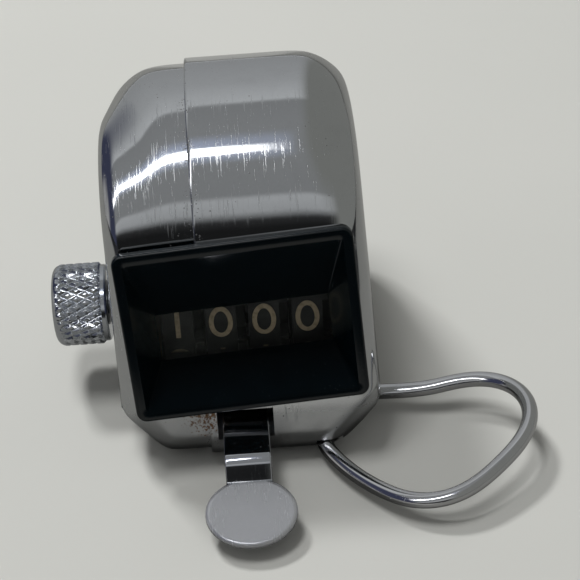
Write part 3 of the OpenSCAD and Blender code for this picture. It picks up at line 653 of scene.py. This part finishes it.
def lever_mesh():
    line = lever_line()
    lever = strip_mesh(line)
    combine(lever, pad_mesh(line[-1]), "UNION")
    combine(lever, rod_x("hub", PIVOT_Y, PIVOT_Z, HUB_R, *HUB_X), "UNION")
    web = [(PIVOT_Y - 1.7 * MM, PIVOT_Z), (PIVOT_Y + 1.6 * MM, PIVOT_Z),
           (PIVOT_Y + 0.2 * MM, PIVOT_Z + 2.3 * MM), (PIVOT_Y - 1.7 * MM, PIVOT_Z + 2.3 * MM)]
    combine(lever, plate_x("web", web, LEVER_X - 0.498 * LEVER_W, LEVER_X + 0.498 * LEVER_W), "UNION")
    for x0, x1 in ((-7.6 * MM, -6.75 * MM), (11.6 * MM, HUB_X[1] - 0.01 * MM)):
        combine(lever, plate_x("ear", ear_outline(), x0, x1), "UNION")
        ear_end = rod_x("ear_end", COMB_Y, COMB_Z, 1.15 * MM, x0 + 0.005 * MM, x1 - 0.005 * MM)
        combine(lever, ear_end, "UNION")
    combine(lever, rod_x("pivot_bore", PIVOT_Y, PIVOT_Z, 0.85 * MM, HUB_X[0] - MM, HUB_X[1] + MM))
    combine(lever, rod_x("pin_bore", COMB_Y, COMB_Z, 0.52 * MM, HUB_X[0] - MM, HUB_X[1] + MM))
    return lever


# ---------- finger ring ----------

def loop_point(degrees):
    """Point of the ring's round part, seen from above."""
    swells = sum(rise * math.cos(math.radians(count * (degrees - way)))
                 for count, rise, way in RING_LOBES)
    a = math.radians(degrees)
    return RING_C + (RING_R + swells) * Vector((math.cos(a), math.sin(a)))


def loop_tangent(degrees):
    return (loop_point(degrees + 0.5) - loop_point(degrees - 0.5)).normalized()


def bezier(p0, p1, p2, p3, count):
    points = []
    for s in np.linspace(0, 1, count).tolist():
        q = 1 - s
        points.append(q ** 3 * p0 + 3 * q * q * s * p1 + 3 * q * s * s * p2 + s ** 3 * p3)
    return points


def ring_height(x):
    """The wire leaves the hinge level, then climbs away from the case."""
    def swell(at):
        return (math.hypot(at - CLIMB_X, CLIMB_EASE) + at - CLIMB_X) / 2
    return HINGE_Z + RING_CLIMB * (swell(x) - swell(HINGE_X))


def ring_path():
    """Middle line of the wire from its near end, round the loop, to its far end."""
    near = Vector((HINGE_X, EXIT_Y))
    far = Vector((HINGE_X + RING_BEND, RING_FAR_Y))
    first, last = loop_point(NEAR_DIR), loop_point(FAR_DIR)
    plan = bezier(near, near - Vector((0, NEAR_REACH[0])),
                  first - NEAR_REACH[1] * loop_tangent(NEAR_DIR), first, 30)
    plan += [loop_point(a) for a in np.linspace(NEAR_DIR, FAR_DIR, 90).tolist()[1:]]
    plan += bezier(last, last + FAR_REACH[0] * loop_tangent(FAR_DIR),
                   far + Vector((FAR_REACH[1], 0)), far, 30)[1:]
    for a in np.radians(np.arange(100, 181, 10)).tolist():
        plan.append(far + RING_BEND * Vector((math.cos(a), math.sin(a) - 1)))
    path = [(HINGE_X, y, HINGE_Z) for y in np.linspace(NEAR_END_Y, EXIT_Y + 0.3 * MM, 8)]
    path += [(p.x, p.y, ring_height(p.x)) for p in plan]
    path += [(HINGE_X, y, HINGE_Z) for y in np.linspace(RING_FAR_Y - RING_BEND - 0.3 * MM, FAR_END_Y, 5)]
    return smooth_path(np.array(path), 8)


def smooth_path(path, rounds):
    """Even steps along the path, with its small kinks relaxed; its ends stay put."""
    for _ in range(rounds):
        length = np.concatenate([[0], np.cumsum(np.linalg.norm(np.diff(path, axis=0), axis=1))])
        at = np.linspace(0, length[-1], 320)
        path = np.stack([np.interp(at, length, path[:, i]) for i in range(3)], 1)
        path[1:-1] = path[1:-1] * 0.5 + (path[:-2] + path[2:]) * 0.25
    return path


def ring_mesh(sides=32):
    path = ring_path()
    up = np.array((0.0, 0.0, 1.0))
    loops = []
    last = len(path) - 1
    for i, p in enumerate(path):
        t = path[min(i + 1, last)] - path[max(i - 1, 0)]
        t /= np.linalg.norm(t)
        across = np.cross(t, up)
        across /= np.linalg.norm(across)
        over = np.cross(across, t)
        r = WIRE_R * (0.8 if i in (0, last) else 1.0)
        loops.append([Vector(p + r * (u * across + v * over)) for u, v in circle(1, sides)])
    return loft("wire_ring", loops)


# ---------- materials ----------

def new_material(name):
    mat = bpy.data.materials.new(name)
    mat.use_nodes = True
    tree = mat.node_tree
    tree.nodes.clear()
    out = tree.nodes.new("ShaderNodeOutputMaterial")
    shader = tree.nodes.new("ShaderNodeBsdfPrincipled")
    tree.links.new(shader.outputs[0], out.inputs[0])
    return mat, tree, shader


def put(tree, socket, value):
    """Links a socket to a value's socket, or sets it."""
    if isinstance(value, bpy.types.NodeSocket):
        tree.links.new(value, socket)
    else:
        socket.default_value = value


def calc(tree, operation, a, b=0.0, c=0.0, clamp=False):
    n = tree.nodes.new("ShaderNodeMath")
    n.operation = operation
    n.use_clamp = clamp
    for socket, value in zip(n.inputs, (a, b, c)):
        put(tree, socket, value)
    return n.outputs[0]


def step(tree, value, low, high):
    """0 below low, 1 above high, smooth between; also falls when low is above high."""
    n = tree.nodes.new("ShaderNodeMapRange")
    n.interpolation_type = "SMOOTHSTEP"
    put(tree, n.inputs["Value"], value)
    n.inputs["From Min"].default_value = low
    n.inputs["From Max"].default_value = high
    return n.outputs[0]


def blend(tree, share, a, b):
    """Colour a where share is 0 and colour b where it is 1."""
    n = tree.nodes.new("ShaderNodeMix")
    n.data_type = "RGBA"
    put(tree, n.inputs[0], share)
    put(tree, n.inputs[6], a if isinstance(a, bpy.types.NodeSocket) else (*a, 1))
    put(tree, n.inputs[7], b if isinstance(b, bpy.types.NodeSocket) else (*b, 1))
    return n.outputs[2]


def place_mm(tree, scale=(1, 1, 1), turn=(0, 0, 0), shift=(0, 0, 0)):
    """The point on the object in millimetres, turned, shifted and stretched."""
    coord = tree.nodes.new("ShaderNodeTexCoord")
    n = tree.nodes.new("ShaderNodeMapping")
    tree.links.new(coord.outputs["Object"], n.inputs[0])
    n.inputs["Location"].default_value = shift
    n.inputs["Rotation"].default_value = [math.radians(a) for a in turn]
    n.inputs["Scale"].default_value = [s / MM for s in scale]
    return n.outputs[0]


def noise(tree, vector, scale, detail=3.0, rough=0.5):
    n = tree.nodes.new("ShaderNodeTexNoise")
    put(tree, n.inputs["Vector"], vector)
    n.inputs["Scale"].default_value = scale
    n.inputs["Detail"].default_value = detail
    n.inputs["Roughness"].default_value = rough
    return n.outputs[0]


def cells(tree, vector, scale, jitter=1.0):
    n = tree.nodes.new("ShaderNodeTexVoronoi")
    put(tree, n.inputs["Vector"], vector)
    n.inputs["Scale"].default_value = scale
    n.inputs["Randomness"].default_value = jitter
    return n.outputs["Distance"]


def axes(tree, vector):
    n = tree.nodes.new("ShaderNodeSeparateXYZ")
    tree.links.new(vector, n.inputs[0])
    return n.outputs


def bump(tree, shader, height, strength, distance):
    n = tree.nodes.new("ShaderNodeBump")
    n.inputs["Strength"].default_value = strength
    n.inputs["Distance"].default_value = distance
    put(tree, n.inputs["Height"], height)
    tree.links.new(n.outputs[0], shader.inputs["Normal"])


def scratches(tree, turn, width, seed):
    """Thin straight marks: stretched noise, cut to its crests."""
    streaks = noise(tree, place_mm(tree, (7 / width, 0.22, 0.22), turn, (seed, 0, 0)), 1, 2)
    return step(tree, streaks, 0.63, 0.72)


def chrome(name, tint=(0.70, 0.71, 0.72), rough=0.055, wear=1.0, specks=1.0, stains=(), satin_y=None):
    """Polished plating with faint waves, hair scratches, pits, rust at stains, satin past satin_y."""
    mat, tree, shader = new_material(name)
    mm = place_mm(tree)
    x, y, z = axes(tree, mm)
    cloud = noise(tree, mm, 0.16, 4)
    fine = noise(tree, mm, 2.6, 4)
    marks = calc(tree, "MAXIMUM", scratches(tree, (0, 0, 8), 1.0, 3),
                 scratches(tree, (20, 0, 62), 1.4, 9))
    marks = calc(tree, "MAXIMUM", marks, scratches(tree, (0, 25, 128), 1.8, 17))
    rubbed = step(tree, cloud, 0.42, 0.62)
    if stains:
        brow = calc(tree, "MULTIPLY", step(tree, z, 31, 34), step(tree, y, 2, -2))
        rubbed = calc(tree, "MAXIMUM", rubbed, brow)
    marks = calc(tree, "MULTIPLY", marks, rubbed)
    haze = step(tree, noise(tree, mm, 0.35, 5), 0.5, 0.75)
    pit_zone = step(tree, noise(tree, mm, 0.45, 3), 0.5, 0.68)
    pits = calc(tree, "MULTIPLY", step(tree, cells(tree, mm, 1.3), 0.13, 0.09), pit_zone)
    if specks > 1:
        from_seam = calc(tree, "ABSOLUTE", calc(tree, "SUBTRACT", x, SEAM_X / MM + 0.1))
        near_seam = step(tree, from_seam, 1.3, 0.1)
        crowd = step(tree, cells(tree, mm, 3.0), 0.30, 0.20)
        patchy = step(tree, noise(tree, mm, 0.5, 3), 0.44, 0.56)
        crowd = calc(tree, "MULTIPLY", calc(tree, "MULTIPLY", near_seam, crowd), patchy)
        pits = calc(tree, "MAXIMUM", pits, crowd)
    rust = 0.0
    for centre, reach in stains:
        away = tree.nodes.new("ShaderNodeVectorMath")
        away.operation = "DISTANCE"
        tree.links.new(mm, away.inputs[0])
        away.inputs[1].default_value = [c / MM for c in centre]
        zone = step(tree, away.outputs["Value"], reach / MM, 0.15 * reach / MM)
        speckle = calc(tree, "ADD", noise(tree, mm, 2.2, 6, 0.7), calc(tree, "MULTIPLY", zone, 0.13))
        grains = step(tree, speckle, 0.6, 0.66)
        rust = calc(tree, "MAXIMUM", rust, calc(tree, "MULTIPLY", grains, step(tree, zone, 0.02, 0.3)))
    dirt = calc(tree, "MULTIPLY", pits, min(1.0, 0.9 * specks), clamp=True)
    plated = blend(tree, fine, [0.94 * c for c in tint], tint)
    plated = blend(tree, calc(tree, "MULTIPLY", haze, 0.25), plated, [0.84 * c for c in tint])
    colour = blend(tree, dirt, plated, (0.05, 0.045, 0.045))
    if stains:
        rusty = blend(tree, noise(tree, mm, 3.1, 3), (0.10, 0.045, 0.02), (0.36, 0.2, 0.10))
        colour = blend(tree, rust, colour, rusty)
    put(tree, shader.inputs["Base Color"], colour)
    covered = calc(tree, "MAXIMUM", dirt, rust)
    if satin_y is not None:
        satin = step(tree, y, satin_y / MM, satin_y / MM - 0.6)
        covered = calc(tree, "MAXIMUM", covered, calc(tree, "MULTIPLY", satin, 0.3))
    put(tree, shader.inputs["Metallic"], calc(tree, "SUBTRACT", 1.0, covered))
    soft = calc(tree, "MULTIPLY_ADD", marks, 0.22 * wear, rough)
    soft = calc(tree, "MULTIPLY_ADD", haze, 0.05 * wear, soft)
    if stains:
        nose = calc(tree, "MULTIPLY", step(tree, z, 9.5, 7.5), step(tree, y, -11, -15))
        soft = calc(tree, "MULTIPLY_ADD", nose, 0.22, soft)
    put(tree, shader.inputs["Roughness"], calc(tree, "MULTIPLY_ADD", covered, 0.6, soft, clamp=True))
    relief = calc(tree, "MULTIPLY_ADD", marks, -0.12 * wear, calc(tree, "MULTIPLY", cloud, 1.2))
    relief = calc(tree, "MULTIPLY_ADD", fine, 0.05, relief)
    relief = calc(tree, "MULTIPLY_ADD", covered, -0.5, relief)
    bump(tree, shader, relief, 0.25, 0.05 * MM)
    return mat


def black_plastic(name):
    """Moulded black plastic: a soft sheen, fine texture and dust."""
    mat, tree, shader = new_material(name)
    mm = place_mm(tree)
    grain = noise(tree, mm, 5, 3)
    cloud = noise(tree, mm, 0.3, 4)
    dust = step(tree, cells(tree, mm, 2.4), 0.09, 0.05)
    dust = calc(tree, "MULTIPLY", dust, step(tree, cloud, 0.5, 0.62))
    colour = blend(tree, cloud, (0.0009, 0.0027, 0.0040), (0.0020, 0.0058, 0.0080))
    colour = blend(tree, calc(tree, "MULTIPLY", dust, 0.35), colour, (0.3, 0.3, 0.3))
    put(tree, shader.inputs["Base Color"], colour)
    put(tree, shader.inputs["Roughness"], calc(tree, "MULTIPLY_ADD", grain, 0.10, 0.06))
    shader.inputs["Specular IOR Level"].default_value = 0.5
    bump(tree, shader, calc(tree, "MULTIPLY_ADD", cloud, 1.5, grain), 0.12, 0.03 * MM)
    return mat


def wheel_black(name):
    mat, tree, shader = new_material(name)
    mm = place_mm(tree)
    cloud = noise(tree, mm, 0.8, 5)
    rub = step(tree, noise(tree, place_mm(tree, (0.4, 5, 5)), 1, 3), 0.55, 0.75)
    colour = blend(tree, cloud, (0.006, 0.007, 0.008), (0.022, 0.022, 0.021))
    colour = blend(tree, calc(tree, "MULTIPLY", rub, 0.4), colour, (0.05, 0.05, 0.045))
    put(tree, shader.inputs["Base Color"], colour)
    put(tree, shader.inputs["Roughness"], calc(tree, "MULTIPLY_ADD", cloud, 0.3, 0.35))
    bump(tree, shader, cloud, 0.2, 0.05 * MM)
    return mat


def figure_paint(name):
    """Old cream paint, thin and darker in places, with painted shade that turns the figures nearly black
    below a fixed height.
    """
    mat, tree, shader = new_material(name)
    mm = place_mm(tree)
    worn = step(tree, noise(tree, mm, 1.6, 5, 0.65), 0.42, 0.72)
    colour = blend(tree, worn, (0.60, 0.50, 0.33), (0.36, 0.29, 0.18))
    place = tree.nodes.new("ShaderNodeNewGeometry")
    height = axes(tree, place.outputs["Position"])[2]
    # painted shade: below SHADE_Z the paint blends to near black by its height in the world, not by light
    colour = blend(tree, step(tree, height, SHADE_Z[1], SHADE_Z[0]), colour, (0.012, 0.011, 0.009))
    put(tree, shader.inputs["Base Color"], colour)
    shader.inputs["Roughness"].default_value = 0.6
    bump(tree, shader, worn, 0.3, 0.03 * MM)
    return mat


def lens_clear(name):
    """Clear plastic with a thin film of dust, thicker on the left."""
    mat, tree, shader = new_material(name)
    mm = place_mm(tree)
    x = axes(tree, mm)[0]
    film = noise(tree, mm, 0.5, 5, 0.6)
    side = step(tree, x, 2.0, -11.0)
    share = calc(tree, "MULTIPLY", step(tree, film, 0.3, 0.75),
                 calc(tree, "MULTIPLY_ADD", side, 0.10, 0.025))
    clear = tree.nodes.new("ShaderNodeBsdfTransparent")
    mix = tree.nodes.new("ShaderNodeMixShader")
    shader.inputs["Base Color"].default_value = (0.30, 0.33, 0.30, 1)
    put(tree, shader.inputs["Roughness"], calc(tree, "MULTIPLY_ADD", film, 0.2, 0.12))
    fresnel = tree.nodes.new("ShaderNodeFresnel")
    fresnel.inputs["IOR"].default_value = 1.45
    gloss = calc(tree, "MULTIPLY", fresnel.outputs[0], 0.5)
    put(tree, mix.inputs[0], calc(tree, "ADD", share, gloss, clamp=True))
    tree.links.new(clear.outputs[0], mix.inputs[1])
    tree.links.new(shader.outputs[0], mix.inputs[2])
    out = next(n for n in tree.nodes if n.type == "OUTPUT_MATERIAL")
    tree.links.new(mix.outputs[0], out.inputs[0])
    return mat


def turned_metal(name, light, dark, rough):
    """Machined steel or brass: tool marks, cloudy tone and small spots."""
    mat, tree, shader = new_material(name)
    mm = place_mm(tree)
    cloud = noise(tree, mm, 0.5, 5)
    lines = noise(tree, place_mm(tree, (9, 0.6, 0.6)), 1, 2)
    spots = step(tree, cells(tree, mm, 1.1), 0.12, 0.06)
    colour = blend(tree, cloud, light, dark)
    colour = blend(tree, calc(tree, "MULTIPLY", spots, 0.6), colour, [0.25 * c for c in dark])
    put(tree, shader.inputs["Base Color"], colour)
    shader.inputs["Metallic"].default_value = 1
    put(tree, shader.inputs["Roughness"], calc(tree, "MULTIPLY_ADD", lines, 0.2, rough))
    bump(tree, shader, lines, 0.15, 0.03 * MM)
    return mat


def floor_material():
    """Plain pale tabletop. Mirrors see painted reflection tones instead: darker overall, darker still at
    the sides, painted shade close in front and near black past its edge.
    """
    mat, tree, shader = new_material("pale_table")
    mm = place_mm(tree)
    x, y, _ = axes(tree, mm)
    tone = blend(tree, noise(tree, mm, 0.02, 3), (0.655, 0.66, 0.625), (0.70, 0.70, 0.665))
    path = tree.nodes.new("ShaderNodeLightPath")
    # painted reflection: glossy rays see these darker floor tones, not the floor's own colour
    sides = step(tree, calc(tree, "ABSOLUTE", x), 15, 24)
    seen = blend(tree, sides, (0.42, 0.42, 0.40), (0.27, 0.27, 0.255))
    # painted shade: to mirrors, the floor close in front of the counter looks near black
    near = calc(tree, "MULTIPLY", step(tree, y, -52, -34), calc(tree, "SUBTRACT", 1.0, sides))
    seen = blend(tree, calc(tree, "MULTIPLY", near, step(tree, y, 0, -20)), seen, (0.08, 0.08, 0.075))
    seen = blend(tree, step(tree, y, -95, -150), seen, (0.01, 0.01, 0.012))
    put(tree, shader.inputs["Base Color"], blend(tree, path.outputs["Is Glossy Ray"], tone, seen))
    shader.inputs["Roughness"].default_value = 0.75
    shader.inputs["Specular IOR Level"].default_value = 0.2
    bump(tree, shader, noise(tree, mm, 0.8, 3), 0.02, 0.1 * MM)
    return mat


# ---------- pieces ----------

RUST_AT = tuple(on_face(-0.22 * BEZEL_W, -0.9 * MM, 0))   # on both shells, left of the lever
RUST_REACH = 4.2 * MM

CHROME_LEFT = chrome("left_shell_chrome", rough=0.07, wear=1.2, specks=1.3,
                     stains=[(RUST_AT, RUST_REACH)])
CHROME_RIGHT = chrome("right_shell_chrome", rough=0.055, wear=1.0, specks=1.1,
                      stains=[(RUST_AT, RUST_REACH)])
CHROME_LEVER = chrome("lever_chrome", tint=(0.66, 0.67, 0.70), rough=0.06, wear=0.5, specks=0.3,
                      satin_y=lever_line()[-1][0])
CHROME_KNOB = chrome("knob_chrome", tint=(0.60, 0.62, 0.65), rough=0.13, wear=0.3, specks=0.3)
CHROME_RING = chrome("ring_chrome", tint=(0.73, 0.73, 0.74), rough=0.10, wear=0.6, specks=0.5)
BLACK = black_plastic("bezel_black")
WHEEL_BLACK = wheel_black("wheel_black")
PAINT = figure_paint("figure_cream")
LENS = lens_clear("lens_clear")
STEEL = turned_metal("steel", (0.52, 0.53, 0.55), (0.36, 0.36, 0.37), 0.25)
BRASS = turned_metal("brass", (0.62, 0.47, 0.22), (0.44, 0.31, 0.13), 0.28)

left_shell = cut_openings(shell("left_shell", -1, TONGUE_X, STEP_IN), "tool")
finish_piece(left_shell, "case", CHROME_LEFT, ["left_case"], by_area=True)
right_shell = cut_openings(shell("right_shell", 1, SEAM_X, 0), "tool")
finish_piece(right_shell, "case", CHROME_RIGHT, ["right_case"], by_area=True)
finish_piece(bezel_mesh(), "case", BLACK, ["bezel"], sharp=32)

for wheel, shown in (("units", 0), ("tens", 0), ("hundreds", 0), ("thousands", 1)):
    figures = wheel_figures(f"{wheel}_figures", f"{wheel}_wheel", shown)
    finish_piece(figures, wheel, PAINT)

finish_piece(knob_mesh(), "reset", CHROME_KNOB, ["reset_knob"], sharp=25)
finish_piece(lever_mesh(), "lever", CHROME_LEVER, ["thumb_lever"])
finish_piece(ring_mesh(), "ring", CHROME_RING, ["finger_ring"])

NODE_LOOKS = {
    LENS: ["window_lens"],
    WHEEL_BLACK: ["units_wheel", "tens_wheel", "hundreds_wheel", "thousands_wheel"],
    BRASS: ["left_plate", "right_plate", "left_bush", "right_bush", "detent_comb", "ring_bracket"],
    STEEL: ["base_screws", "frame_bars", "base_rail", "detent_rail", "plate_screws", "reset_shaft",
            "knob_screw", "knob_washer", "shaft_clip", "units_pawl", "tens_pawl", "hundreds_pawl",
            "thousands_pawl", "lever_pivot", "lever_spring", "drive_comb", "comb_pin", "comb_spring",
            "detent_screws", "ring_rivets"],
}
for look, names in NODE_LOOKS.items():
    for name in names:
        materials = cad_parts[name].data.materials
        materials.clear()
        materials.append(look)


# ---------- stage, light and camera ----------

def table_top():
    half = 1.6
    ground = new_object("table", [(-half, -half, 0), (half, -half, 0), (half, half, 0), (-half, half, 0)],
                        [(0, 1, 2, 3)])
    ground.data.materials.append(floor_material())


def area_light(name, direction, distance, size, power, tint=(1, 1, 1)):
    """A soft panel that shines on the object from a direction; mirrors see the sky instead."""
    data = bpy.data.lights.new(name, "AREA")
    data.shape = "RECTANGLE"
    data.size, data.size_y = size
    data.energy = power
    data.color = tint
    lamp = bpy.data.objects.new(name, data)
    bpy.context.scene.collection.objects.link(lamp)
    towards = Vector(direction).normalized()
    lamp.location = Vector((0, 0, 0.015)) + towards * distance
    lamp.rotation_mode = "QUATERNION"
    lamp.rotation_quaternion = (-towards).to_track_quat("-Z", "Y")
    lamp.visible_glossy = False
    return lamp


# What a mirror sees at each angle over the object, from the front (0) over the top (90) to the
# back (180), in degrees: a dark room in front, a light wall, the ceiling, another wall.
SKY_BANDS = [(-180, 0.50), (-150, 0.45), (-12, 0.012), (8, 0.012), (15, 0.03), (22, 0.37),
             (33, 0.43), (36, 0.24), (92, 0.26), (115, 0.24), (118, 0.50), (140, 0.38), (180, 0.30)]
LAMP_BAND = (70, 72, 75.5, 78)            # a lit panel in the ceiling, in the same degrees
LAMP_LIGHT = (9.0, 9.0, 9.0)
GLOW_BAND = (62, 71, 79, 90)              # the bluish light round it
GLOW_COLOUR = (0.42, 0.47, 0.60)
SKY_LEAN = 0.63                           # how far the bands come down towards the left
SKY_EASE = 0.08
RIGHT_TONE = (0.20, 0.205, 0.195)         # the room to the right, to the left and hard left
LEFT_TONE = (0.045, 0.05, 0.085)
FAR_LEFT_TONE = (0.35, 0.35, 0.35)


def studio_sky():
    """Soft even light for surfaces, and bands of light and dark for mirrors to show."""
    world = bpy.data.worlds.new("studio")
    bpy.context.scene.world = world
    world.use_nodes = True
    tree = world.node_tree
    tree.nodes.clear()
    coord = tree.nodes.new("ShaderNodeTexCoord")
    x, y, z = axes(tree, coord.outputs["Generated"])
    bent = calc(tree, "SQRT", calc(tree, "MULTIPLY_ADD", x, x, SKY_EASE ** 2))
    leftward = calc(tree, "MULTIPLY", calc(tree, "SUBTRACT", x, bent), SKY_LEAN / 2)
    front = calc(tree, "SUBTRACT", leftward, y)
    angle = calc(tree, "ARCTAN2", z, front)
    ramp = tree.nodes.new("ShaderNodeValToRGB")
    put(tree, ramp.inputs[0], calc(tree, "MULTIPLY_ADD", angle, 1 / (2 * math.pi), 0.5))
    stops = ramp.color_ramp.elements
    while len(stops) < len(SKY_BANDS):
        stops.new(0.5)
    for stop, (degrees, level) in zip(stops, SKY_BANDS):
        stop.position = (degrees + 180) / 360
        stop.color = (level * 0.97, level, level * 1.02, 1)
    degrees = calc(tree, "MULTIPLY", angle, 180 / math.pi)

    def band(limits, fade_from, fade_to):
        inside = calc(tree, "MULTIPLY", step(tree, degrees, *limits[:2]),
                      step(tree, degrees, *limits[:1:-1]))
        return calc(tree, "MULTIPLY", inside, step(tree, x, fade_from, fade_to))

    mirrored = blend(tree, band(GLOW_BAND, 0.12, -0.06), ramp.outputs[0], GLOW_COLOUR)
    mirrored = blend(tree, band(LAMP_BAND, 0.035, -0.06), mirrored, LAMP_LIGHT)
    mirrored = blend(tree, step(tree, x, 0.10, 0.30), mirrored, RIGHT_TONE)
    mirrored = blend(tree, step(tree, x, -0.50, -0.68), mirrored, LEFT_TONE)
    mirrored = blend(tree, step(tree, x, -0.90, -0.98), mirrored, FAR_LEFT_TONE)
    path = tree.nodes.new("ShaderNodeLightPath")
    frontness = step(tree, calc(tree, "MULTIPLY", y, -1), 0.0, 0.8)
    even = blend(tree, frontness, (0.24, 0.24, 0.235), (0.14, 0.14, 0.14))
    soft = blend(tree, path.outputs["Is Camera Ray"], even, (0.62, 0.62, 0.59))
    seen = blend(tree, path.outputs["Is Glossy Ray"], soft, mirrored)
    shine = tree.nodes.new("ShaderNodeBackground")
    out = tree.nodes.new("ShaderNodeOutputWorld")
    tree.links.new(seen, shine.inputs[0])
    tree.links.new(shine.outputs[0], out.inputs[0])


def camera():
    """Looks down on the counter from the front, close, a little off to one side and rolled."""
    target = Vector((0, -12, 16)) * MM
    turn, rise, roll = math.radians(0.48), math.radians(41.64), math.radians(4.41)
    distance = 197.7 * MM
    away = Vector((math.sin(turn) * math.cos(rise), -math.cos(turn) * math.cos(rise), math.sin(rise)))
    right = Vector((math.cos(turn), math.sin(turn), 0))
    up = away.cross(right)
    across = right * math.cos(roll) - up * math.sin(roll)
    over = right * math.sin(roll) + up * math.cos(roll)
    data = bpy.data.cameras.new("camera")
    data.sensor_width = 36
    data.lens = 96.0
    data.shift_x, data.shift_y = 0.0824, 0.0481
    data.clip_start, data.clip_end = 0.01, 10
    cam = bpy.data.objects.new("camera", data)
    bpy.context.scene.collection.objects.link(cam)
    turned = Matrix((across, over, away)).transposed()
    cam.matrix_world = Matrix.Translation(target + away * distance) @ turned.to_4x4()
    bpy.context.scene.camera = cam


table_top()
studio_sky()
area_light("back_panel", (-0.40, 0.60, 1), 0.9, (0.16, 0.10), 3.6)
area_light("top_panel", (-0.20, 0.10, 1), 0.9, (0.30, 0.20), 2.6)
camera()
bpy.context.scene.view_settings.view_transform = "Standard"
